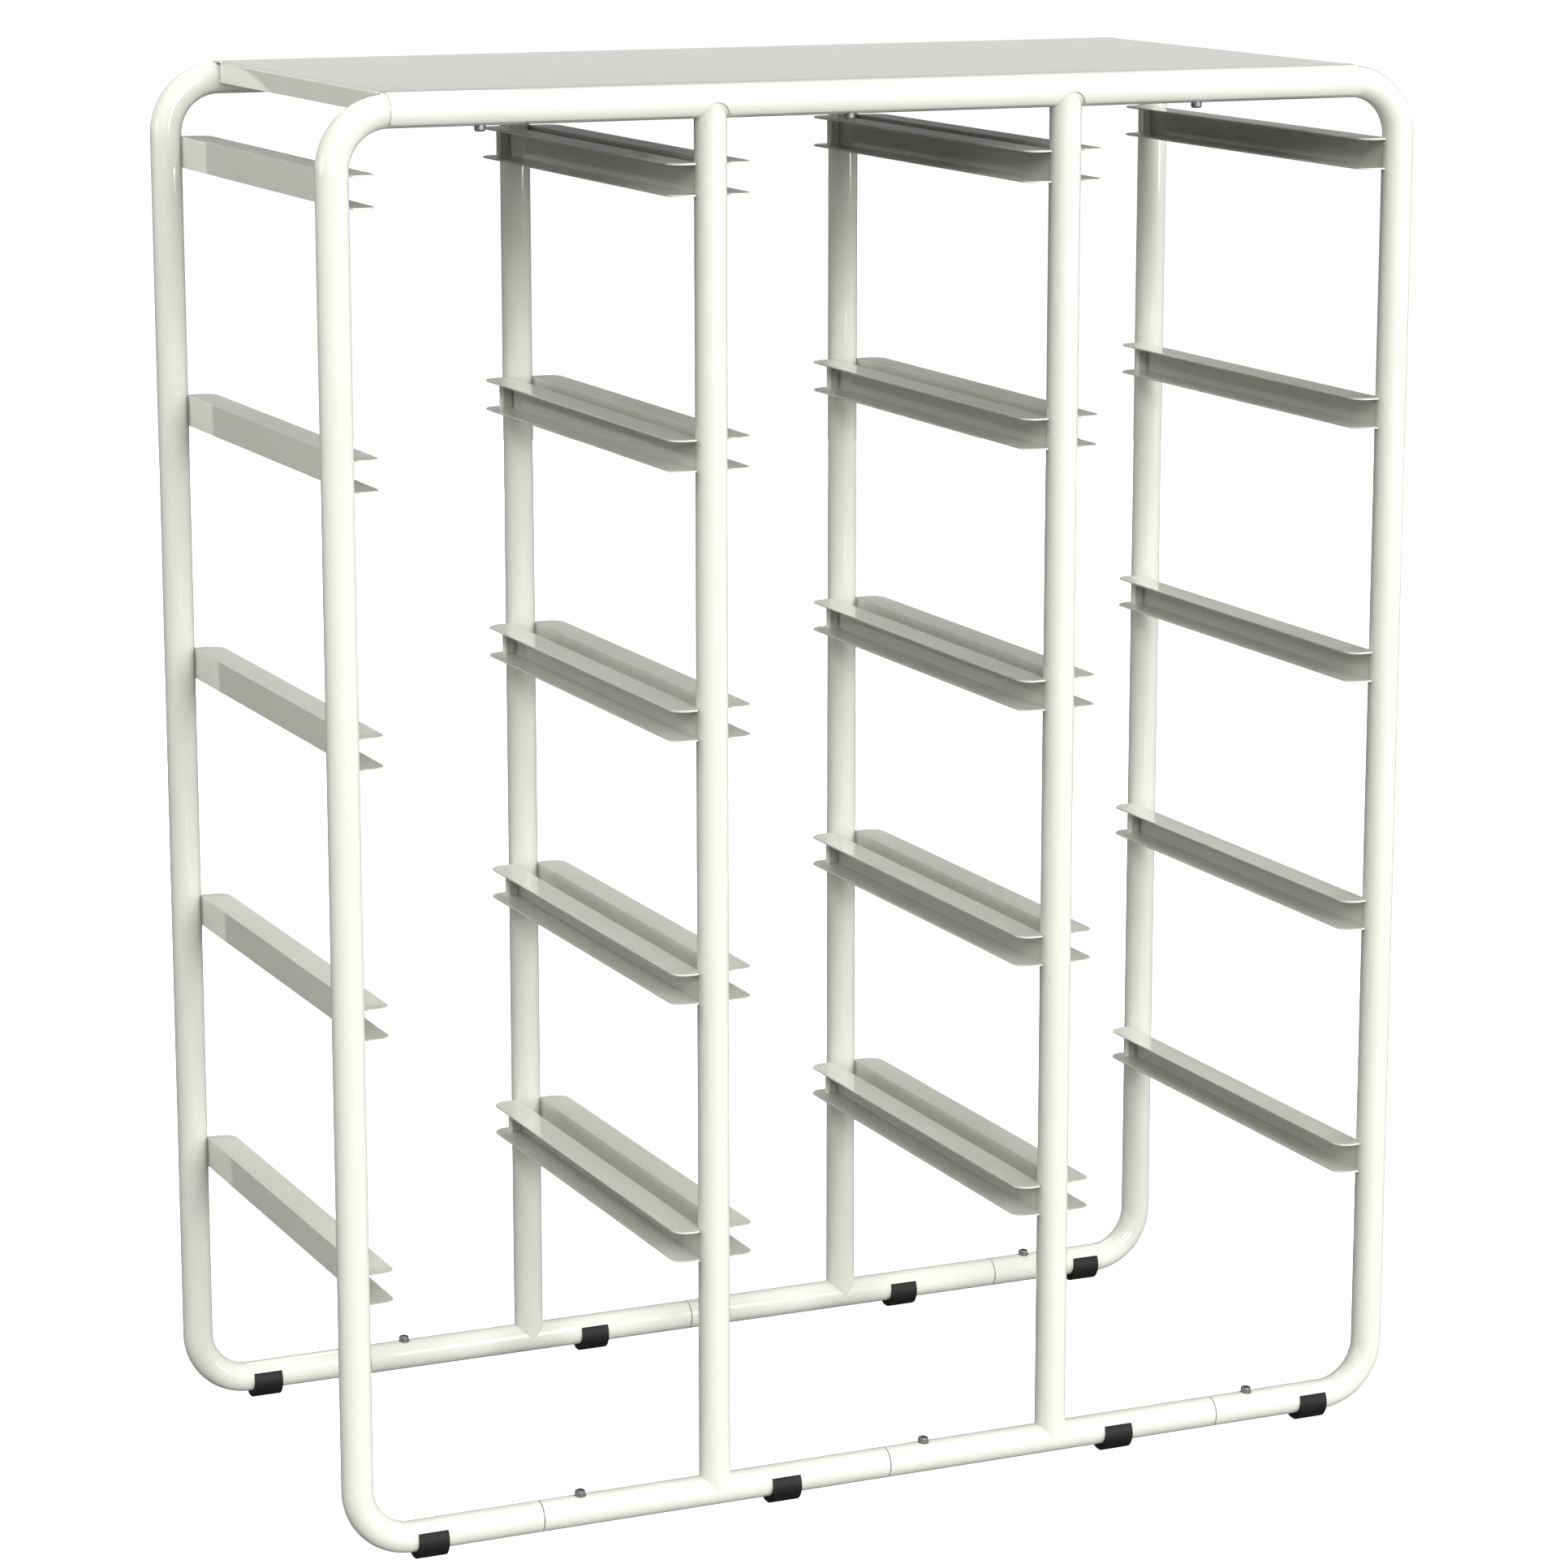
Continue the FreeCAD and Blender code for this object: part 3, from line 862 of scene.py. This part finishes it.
@dataclass(frozen=True)
class Runners:
    """The C-channels that carry the bins, one on each side of each bay at each level."""

    layout: Layout
    coat: Material
    sheet: float = 1.5 * MM
    corner: float = 12.7 * MM
    corner_steps: int = 10
    edge: float = 0.35 * MM
    weld_sink: float = 0.05 * MM
    clip: float = 14.5 * MM
    clip_behind: float = 1.0 * MM

    def build(self) -> None:
        """Builds one channel and sets a copy of it, or of its mirror image, at each place."""
        first, _ = next(runner_nodes())
        channel = self.channel(*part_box(first))
        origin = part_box(first)[0]
        for node, side in runner_nodes():
            low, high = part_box(node)
            start = Vector((low.x if side is Side.LEFT else high.x, low.y, low.z))
            mirror = Matrix.Diagonal((side.value, 1, 1, 1))
            place = Matrix.Translation(start) @ mirror @ Matrix.Translation(-origin)
            bm = bmesh.new()
            copy_moved(channel, place, bm)
            show(bm, node, self.coat)

    def channel(self, low: Vector, high: Vector) -> Mesh:
        """Folds a channel for the left of a bay, and copes it round the two tubes.

        Args:
            low: The channel's lowest corner.
            high: Its highest corner.

        Returns:
            The channel's mesh.
        """
        bm = bmesh.new()
        ends = [bm.verts.new((high.x, y, high.z)) for y in (low.y, high.y)]
        tip = [bm.edges.new(ends)]
        across = Vector((low.x - high.x, 0, 0))
        top_fold = extrude_line(bm, tip, across)
        bottom_fold = extrude_line(bm, top_fold, Vector((0, 0, low.z - high.z)))
        extrude_line(bm, bottom_fold, -across)
        corners = [vert for vert in bm.verts if same(vert.co.x, high.x)]
        round_corners(bm, corners, self.corner, self.corner_steps)
        self.face_away(bm, (low + high) / 2)
        mesh = thickened(to_mesh(bm, "runner_blank"), self.sheet, self.edge, "runner_folded")
        mesh = cut_away(mesh, self.tubes(low, high), "runner_coped")
        return cut_away(mesh, self.front_clip(low, high), "runner_channel")

    def face_away(self, bm: BMesh, middle: Vector) -> None:
        """Turns the channel's faces away from its inside.

        Args:
            bm: The channel's surface.
            middle: The middle of its inside.
        """
        bm.normal_update()
        inward = [face for face in bm.faces if face.normal.dot(face.calc_center_median() - middle) < 0]
        bmesh.ops.reverse_faces(bm, faces=inward)

    def tubes(self, low: Vector, high: Vector) -> Mesh:
        """Makes the cutter for the copes.

        Args:
            low: The channel's lowest corner.
            high: Its highest corner.

        Returns:
            The two upright tubes that the channel is coped round.
        """
        bm = bmesh.new()
        tall = 2 * (high.z - low.z)
        middle = (low.z + high.z) / 2
        for frame in Frame:
            place = Matrix.Translation((self.layout.upright[0], self.layout.depth[frame], middle))
            plug(bm, self.layout.tube_radius - self.weld_sink, tall, place)
        return to_mesh(bm, "runner_cutter")

    def front_clip(self, low: Vector, high: Vector) -> Mesh:
        """Makes the cutter for the corner clipped off beside the front tube.

        Args:
            low: The channel's lowest corner.
            high: Its highest corner.

        Returns:
            An upright prism from the tube's axis to the slanting cut.
        """
        axis = self.layout.upright[0]
        behind = self.layout.depth[Frame.FRONT] + self.clip_behind
        ahead = low.y - self.clip
        corners = (
            (axis, behind),
            (axis + self.layout.tube_radius, behind),
            (axis + self.clip, low.y),
            (axis + self.clip, ahead),
            (axis, ahead),
        )
        height = high.z - low.z
        tall = 3 * height
        bm = bmesh.new()
        bm.faces.new([bm.verts.new((x, y, low.z - height)) for x, y in corners])
        extrude_faces(bm, bm.faces[:], Vector((0, 0, tall)))
        bmesh.ops.recalc_face_normals(bm, faces=bm.faces)
        return to_mesh(bm, "runner_clip")


@dataclass(frozen=True)
class BinStops:
    """The upright tabs that stop a bin's rim at the back of each runner."""

    layout: Layout
    coat: Material
    reach: float = 11.0 * MM
    setback: float = 20.0 * MM
    bead_radius: float = 2.5 * MM
    sheet: float = 1.5 * MM
    plate_depth: float = 1.65 * MM
    fold: float = 0.5 * MM
    weld_gap: float = 0.1 * MM
    bead_sides: int = 32

    def build(self) -> None:
        """Builds all the stops as one piece of separate tabs."""
        bm = bmesh.new()
        back = self.layout.depth[Frame.BACK]
        for node, side in runner_nodes():
            low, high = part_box(node)
            web = low.x if side is Side.LEFT else high.x
            height = high.z - low.z - 2 * (self.sheet + self.weld_gap)
            foot = Vector((web, back - self.setback, low.z + self.sheet + self.weld_gap))
            self.tab(bm, foot, height, side.value)
        bmesh.ops.recalc_face_normals(bm, faces=bm.faces)
        show(bm, "bin_stops", self.coat)

    def tab(self, bm: BMesh, foot: Vector, height: float, hand: int) -> None:
        """Adds one tab, its bead away from the web.

        Args:
            bm: The mesh that takes it.
            foot: The point on the web's outer face level with the bead's axis and the tab's foot.
            height: The tab's height.
            hand: 1 where the tab points along +X, -1 where it points along -X.
        """
        centre = foot + Vector((hand * self.reach, 0, 0))
        place = Matrix.Translation(centre)
        made = bmesh.ops.create_circle(
            bm, cap_ends=True, segments=self.bead_sides, radius=self.bead_radius, matrix=place
        )
        rim = unique(edge for vert in made["verts"] for edge in vert.link_edges)
        plate_y = foot.y + self.bead_radius - self.plate_depth
        web_side = [
            edge
            for edge in rim
            if all(hand * (vert.co.x - centre.x) < TOLERANCE and vert.co.y > plate_y for vert in edge.verts)
        ]
        plate = bmesh.ops.extrude_edge_only(bm, edges=web_side)["geom"]
        for vert in verts_in(plate):
            vert.co.x = foot.x + hand * (self.sheet + self.fold)
        faces = unique(face for vert in made["verts"] + verts_in(plate) for face in vert.link_faces)
        extrude_faces(bm, faces, Vector((0, 0, height)))
        bmesh.ops.reverse_faces(bm, faces=faces)


@dataclass(frozen=True)
class TopPanel:
    """The sheet on top: rolled over both top rails, notched round the uprights, turned down at its ends."""

    layout: Layout
    coat: Material
    sheet: float = 1.2 * MM
    fold: float = 2.5 * MM
    fold_steps: int = 6
    flange_drop: float = 17.0 * MM
    flange_clearance: float = 3.0 * MM
    relief: float = 2.0 * MM
    wrap_below: float = math.radians(45)
    roll_steps: int = 30
    corner: float = 3.0 * MM
    corner_steps: int = 5
    notch_clearance: float = 3.0 * MM
    notch_corner: float = 3.0 * MM
    notch_corner_steps: int = 8
    arch_steps: int = 32
    edge: float = 0.25 * MM

    def build(self) -> None:
        """Folds and rolls the sheet, and cuts its notches."""
        low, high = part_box("top_panel")
        mesh = thickened(self.surface(high), self.sheet, self.edge, "panel_rolled")
        mesh = cut_away(mesh, self.notches(low, high), "panel_notched")
        bm = bmesh.new()
        bm.from_mesh(mesh)
        show(bm, "top_panel", self.coat)

    def surface(self, high: Vector) -> Mesh:
        """Makes the sheet's outer surface.

        Args:
            high: The panel's highest corner.

        Returns:
            The surface, facing outwards.
        """
        rails = [self.layout.depth[frame] for frame in Frame]
        flange = rails[1] - self.layout.tube_radius - self.flange_clearance
        relief = flange + self.relief
        stops = (rails[0], -relief, -flange, flange, relief, rails[1])
        fold_x = high.x - self.fold
        bm = bmesh.new()
        line = [bm.verts.new((-fold_x, y, high.z)) for y in stops]
        start = [bm.edges.new(pair) for pair in zip(line, line[1:])]
        end = extrude_line(bm, start, Vector((2 * fold_x, 0, 0)))
        folds = []
        for side, edges in ((-1, start), (1, end)):
            out = Vector((side * self.fold, 0, 0))
            reach = [max(abs(vert.co.y) for vert in edge.verts) for edge in edges]
            over_rail = [edge for edge, y in zip(edges, reach) if y > relief + TOLERANCE]
            between = [edge for edge, y in zip(edges, reach) if y < relief - TOLERANCE]
            extrude_line(bm, over_rail, out)
            fold = extrude_line(bm, between, out)
            extrude_line(bm, fold, Vector((0, 0, -self.flange_drop)))
            folds += fold
        bevel_edges(bm, folds, self.fold, self.fold_steps)
        for sign, y in zip((1, -1), rails):
            rim = [edge for edge in bm.edges if all(same(vert.co.y, y) for vert in edge.verts)]
            turn = sign * (QUARTER + self.wrap_below)
            centre = Vector((0, y, self.layout.top_rail))
            lip = edges_in(spin(bm, rim, centre, Vector((1, 0, 0)), turn, self.roll_steps))
            tips = unique(vert for edge in lip for vert in edge.verts if same(abs(vert.co.x), high.x))
            round_corners(bm, tips, self.corner, self.corner_steps)
        bmesh.ops.recalc_face_normals(bm, faces=bm.faces)
        top = max(bm.faces, key=lambda face: face.calc_area())
        if top.normal.z < 0:
            bmesh.ops.reverse_faces(bm, faces=bm.faces)
        return to_mesh(bm, "panel_surface")

    def notches(self, low: Vector, high: Vector) -> Mesh:
        """Makes the cutter for the arched notches round the middle uprights.

        Args:
            low: The panel's lowest corner.
            high: Its highest corner.

        Returns:
            One arched bar along Y for each pair of uprights.
        """
        top = self.layout.top_rail
        radius = self.layout.tube_radius
        roll = high.z - top
        drop = roll * math.sin(self.wrap_below)
        lip_depth = (roll - self.sheet) * math.cos(self.wrap_below)
        arch = math.sqrt(radius**2 - lip_depth**2) + self.notch_clearance
        between_centres = arch + self.notch_corner
        lean = math.asin((between_centres - drop) / between_centres)
        reach = between_centres * math.cos(lean)
        ahead = 2 * low.y
        toward_back = Vector((0, 1, 0))
        under = Vector((0, 0, self.corner))
        bm = bmesh.new()
        for x in self.layout.upright[1:-1]:
            foot = Vector((x + reach, ahead, top - drop))
            corner = foot + Vector((0, 0, self.notch_corner))
            outline = [bm.verts.new(foot)]
            for centre, angle, steps in (
                (corner, QUARTER - lean, self.notch_corner_steps),
                (Vector((x, foot.y, top - arch)), 2 * lean - math.pi, self.arch_steps),
                (Vector((x - reach, foot.y, corner.z)), QUARTER - lean, self.notch_corner_steps),
            ):
                outline += verts_in(spin(bm, outline[-1:], centre, toward_back, angle, steps))
            below = [bm.verts.new(vert.co - under) for vert in (outline[0], outline[-1])]
            for pair in (outline[:1] + below[:1], below, below[1:] + outline[-1:]):
                bm.edges.new(pair)
            profile = [edge for edge in bm.edges if not edge.link_faces]
            bar = bmesh.ops.edgenet_fill(bm, edges=profile)["faces"]
            extrude_faces(bm, bar, Vector((0, -2 * ahead, 0)))
        bmesh.ops.recalc_face_normals(bm, faces=bm.faces)
        return to_mesh(bm, "panel_cutter")


@dataclass(frozen=True)
class SaddleFeet:
    """The plastic saddles snapped on the bottom rails."""

    layout: Layout
    plastic: Material
    wall: float = 2.5 * MM
    bulge: float = 3.4 * MM
    tip: float = 5.3 * MM
    fit: float = 0.03 * MM
    edge: float = 0.15 * MM
    steps: int = 40
    per_frame: int = 4

    def build(self) -> None:
        """Builds every foot."""
        for frame in Frame:
            for number in range(1, self.per_frame + 1):
                self.foot(f"{frame.value}_foot_{number}", self.layout.depth[frame])

    def arc(self, bm: BMesh, centre: Vector, radius: float, tip_z: float) -> Edges:
        """Adds an arc that hangs below two tips.

        Args:
            bm: The mesh.
            centre: The arc's centre.
            radius: Its radius.
            tip_z: The height of its tips.

        Returns:
            The arc's edges.
        """
        angle = math.asin((tip_z - centre.z) / radius)
        start = centre + Vector((0, radius * math.cos(angle), radius * math.sin(angle)))
        known = set(bm.edges)
        turn = -(math.pi + 2 * angle)
        spin(bm, [bm.verts.new(start)], centre, Vector((1, 0, 0)), turn, self.steps)
        return [edge for edge in bm.edges if edge not in known]

    def foot(self, node: str, y: float) -> None:
        """Builds one foot: a crescent round the rail, flat where it stands.

        Args:
            node: The CAD node that the foot stands for.
            y: The rail's place from front to back.
        """
        low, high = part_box(node)
        axis = Vector((low.x, y, self.layout.bottom_rail))
        tip_z = axis.z + self.tip
        bm = bmesh.new()
        inner = self.arc(bm, axis, self.layout.tube_radius + self.fit, tip_z)
        outer = self.arc(bm, axis - Vector((0, 0, self.bulge)), self.layout.tube_radius + self.wall, tip_z)
        for vert in bm.verts:
            vert.co.z = max(vert.co.z, low.z)
        crescent = bmesh.ops.bridge_loops(bm, edges=inner + outer)["faces"]
        extrude_faces(bm, crescent, Vector((high.x - low.x, 0, 0)))
        bmesh.ops.recalc_face_normals(bm, faces=bm.faces)
        rims = [edge for edge in bm.edges if edge.calc_face_angle(0) > CORNER_ANGLE]
        bevel_edges(bm, rims, self.edge, EDGE_STEPS)
        show(bm, node, self.plastic)


@dataclass(frozen=True)
class JointScrews:
    """The socket-head screws at the rail joints of one frame."""

    frame: Frame
    layout: Layout
    zinc: Material
    shank_radius: float = 2.5 * MM
    shank_length: float = 10.0 * MM
    head_radius: float = 4.25 * MM
    head_height: float = 5.9 * MM
    rounding: float = 1.5 * MM
    rounding_steps: int = 4
    socket_radius: float = 2.31 * MM
    socket_depth: float = 2.5 * MM
    socket_sides: int = 6
    turns: int = 48

    def build(self) -> None:
        """Builds the frame's screws as one piece of separate solids."""
        screw = self.screw()
        bm = bmesh.new()
        for place in self.layout.screw_places(self.frame):
            copy_moved(screw, place, bm)
        show(bm, f"{self.frame.value}_joint_screws", self.zinc)

    def screw(self) -> Mesh:
        """Turns one screw and cuts its hexagon socket.

        Returns:
            The screw, head up, with its seat at the origin.
        """
        outline = (
            (0.0, -self.shank_length),
            (self.shank_radius, -self.shank_length),
            (self.shank_radius, 0.0),
            (self.head_radius, 0.0),
            (self.head_radius, self.head_height),
            (0.0, self.head_height),
        )
        bm = bmesh.new()
        line = [bm.verts.new((r, 0, z)) for r, z in outline]
        edges = [bm.edges.new(pair) for pair in zip(line, line[1:])]
        spin(bm, edges, Vector(), Vector((0, 0, 1)), 2 * math.pi, self.turns)
        bmesh.ops.remove_doubles(bm, verts=bm.verts, dist=TOLERANCE)
        bmesh.ops.recalc_face_normals(bm, faces=bm.faces)
        rim = {
            vert
            for vert in bm.verts
            if same(vert.co.z, self.head_height) and same(vert.co.xy.length, self.head_radius)
        }
        crown = [edge for edge in bm.edges if rim.issuperset(edge.verts)]
        bevel_edges(bm, crown, self.rounding, self.rounding_steps)
        socket = bmesh.new()
        top = Matrix.Translation((0, 0, self.head_height))
        plug(socket, self.socket_radius, 2 * self.socket_depth, top, self.socket_sides)
        return cut_away(to_mesh(bm, "screw_turned"), to_mesh(socket, "screw_socket"), "screw")


@dataclass(frozen=True)
class Softbox:
    """A soft oblong light that hangs round the rack and faces its middle.

    Its bearing is in degrees from the front towards +X. One that isn't mirrored doesn't show in the gloss.
    """

    name: str
    bearing: float
    height: float
    distance: float
    wide: float
    tall: float
    power: float
    mirrored: bool = True

    def hang(self) -> None:
        """Adds the light to the scene."""
        low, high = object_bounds()
        middle = (low + high) / 2
        turn = math.radians(self.bearing)
        place = Vector((self.distance * math.sin(turn), -self.distance * math.cos(turn), self.height))
        data = bpy.data.lights.new(self.name, "AREA")
        data.shape = "RECTANGLE"
        data.size = self.wide
        data.size_y = self.tall
        data.energy = self.power
        light = bpy.data.objects.new(self.name, data)
        light.location = place
        light.rotation_euler = (middle - place).to_track_quat("-Z", "Y").to_euler()
        light.visible_camera = False
        light.visible_glossy = self.mirrored
        bpy.context.scene.collection.objects.link(light)


SOFTBOXES = (
    Softbox("key_softbox", bearing=0.0, height=3.6, distance=11.5, wide=2.0, tall=6.5, power=739.0),
    Softbox("upper_left_softbox", bearing=-26.0, height=6.0, distance=11.0, wide=2.5, tall=3.5, power=424.0),
    Softbox("upper_right_softbox", bearing=20.0, height=5.2, distance=11.0, wide=2.5, tall=4.5, power=314.0),
    Softbox("right_softbox", bearing=40.0, height=1.0, distance=12.0, wide=2.0, tall=2.0, power=295.0),
    Softbox(
        "right_fill", bearing=70.0, height=2.6, distance=3.5, wide=2.0, tall=2.0, power=55.7, mirrored=False
    ),
    Softbox("left_softbox", bearing=-90.0, height=2.2, distance=12.0, wide=4.0, tall=4.0, power=160.0),
    Softbox(
        "left_fill", bearing=-95.0, height=2.8, distance=2.2, wide=1.6, tall=1.6, power=31.6, mirrored=False
    ),
    Softbox("rear_softbox", bearing=180.0, height=3.4, distance=2.5, wide=2.0, tall=2.0, power=46.4),
    Softbox(
        "rear_fill", bearing=157.0, height=0.6, distance=6.0, wide=1.6, tall=1.6, power=110.0, mirrored=False
    ),
    # What a pale floor throws up. It shines through the floor, which casts no shadow.
    Softbox("floor_bounce", bearing=0.0, height=-0.03, distance=0.0, wide=2.6, tall=2.6, power=2.0),
)


@dataclass(frozen=True)
class Studio:
    """The plain floor, the soft light and the camera."""

    bottom_rail: float
    # The height of the eye is counted from the bottom rail.
    eye: tuple[float, float, float] = (-1.5973, -3.58345, 1.3709)
    heading: float = math.radians(-24.0615)
    pitch: float = math.radians(12.0925)
    lens: float = 109.65
    sensor: float = 36.0
    floor_radius: float = 30.0
    floor_sides: int = 96
    wall_height: float = 25.0
    # Each row has the sine of a height above the horizon, the glow there and its lean to the left.
    backdrop: tuple[tuple[float, float, float], ...] = (
        (-1.0, 0.0, 0.0),
        (-0.02, 0.0, 0.0),
        (0.0, 0.64, 0.0),
        (0.0675, 0.64, 0.0),
        (0.07, 0.26, 0.7),
        (0.25, 0.26, 0.7),
        (0.27, 0.01, 0.7),
        (0.75, 0.01, 0.7),
        (0.85, 0.15, 0.7),
        (1.0, 0.15, 0.7),
    )

    def build(self) -> None:
        """Sets up the whole studio."""
        self.camera()
        self.floor()
        self.sky()
        for softbox in SOFTBOXES:
            softbox.hang()
        # A single bounce keeps the insides of the channels dark.
        bpy.context.scene.cycles.diffuse_bounces = 1
        view = bpy.context.scene.view_settings
        view.view_transform = "Standard"
        view.look = "None"

    def camera(self) -> None:
        """Places the camera at the photograph's viewpoint."""
        data = bpy.data.cameras.new("camera")
        data.lens = self.lens
        data.sensor_width = self.sensor
        data.clip_end = 3 * self.floor_radius
        camera = bpy.data.objects.new("camera", data)
        x, y, above = self.eye
        camera.location = (x, y, self.bottom_rail + above)
        camera.rotation_euler = (QUARTER - self.pitch, 0, self.heading)
        bpy.context.scene.collection.objects.link(camera)
        bpy.context.scene.camera = camera

    def floor(self) -> None:
        """Lays a plain pale floor that turns up into a round wall far behind the rack."""
        bm = bmesh.new()
        bmesh.ops.create_circle(bm, cap_ends=True, segments=self.floor_sides, radius=self.floor_radius)
        rim = [edge for edge in bm.edges if edge.is_boundary]
        extrude_line(bm, rim, Vector((0, 0, self.wall_height)))
        bmesh.ops.recalc_face_normals(bm, faces=bm.faces)
        base = max(bm.faces, key=lambda face: face.calc_area())
        if base.normal.z < 0:
            bmesh.ops.reverse_faces(bm, faces=[base])
        floor = to_object(to_mesh(bm, "studio_floor"), "studio_floor")
        floor.data.materials.append(PaperSweep().material())
        floor.visible_diffuse = False
        floor.visible_glossy = False
        floor.visible_shadow = False
        floor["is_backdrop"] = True

    def sky(self) -> None:
        """Surrounds the rack with a pale studio in level bands, each brighter on the left by its lean.

        The ramp's red is a band's glow, and its green how far the glow moves with the direction's X.
        """
        world = bpy.data.worlds.new("studio")
        world.use_nodes = True
        tree = world.node_tree
        tree.nodes.clear()
        aim = add_node(tree, "ShaderNodeTexCoord").outputs["Generated"]
        toward = add_node(tree, "ShaderNodeSeparateXYZ", {"Vector": aim}).outputs
        share = add_node(tree, "ShaderNodeMapRange", {"Value": toward["Z"], "From Min": -1, "From Max": 1})
        ramp = add_node(tree, "ShaderNodeValToRGB", {"Fac": share.outputs["Result"]})
        bands = ramp.color_ramp.elements
        for index, (sine, glow, lean) in enumerate(self.backdrop):
            position = (sine + 1) / 2
            band = bands[index] if index < len(bands) else bands.new(position)
            band.position = position
            band.color = (glow, glow * lean, 0.0, 1.0)
        parts = add_node(tree, "ShaderNodeSeparateColor", {"Color": ramp.outputs["Color"]}).outputs
        lean = add_node(tree, "ShaderNodeMath", {0: toward["X"], 1: parts["Green"]}, operation="MULTIPLY")
        glow = add_node(tree, "ShaderNodeMath", {0: parts["Red"], 1: lean.outputs[0]}, operation="SUBTRACT")
        shade = add_node(
            tree, "ShaderNodeBackground", {"Color": linear("#FFFFFF"), "Strength": glow.outputs[0]}
        )
        add_node(tree, "ShaderNodeOutputWorld", {"Surface": shade.outputs["Background"]})
        bpy.context.scene.world = world


def main() -> None:
    """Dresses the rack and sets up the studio."""
    logging.basicConfig(level=logging.INFO, format="%(name)s %(message)s")
    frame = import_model()
    coat = PowderCoat().material()
    plastic = MouldedPlastic().material()
    zinc = ZINC_PLATE.material()
    steel = DRAWN_STEEL.material()
    layout = Layout.from_frame()
    for part in Frame:
        TubeFrame(part, layout, coat).build()
        JointScrews(part, layout, zinc).build()
        spigots = frame["nodes"][f"{part.value}_joint_spigots"]
        spigots.data.materials.clear()
        spigots.data.materials.append(steel)
    Runners(layout, coat).build()
    BinStops(layout, coat).build()
    TopPanel(layout, coat).build()
    SaddleFeet(layout, plastic).build()
    Studio(layout.bottom_rail).build()


if __name__ == "__main__":
    main()
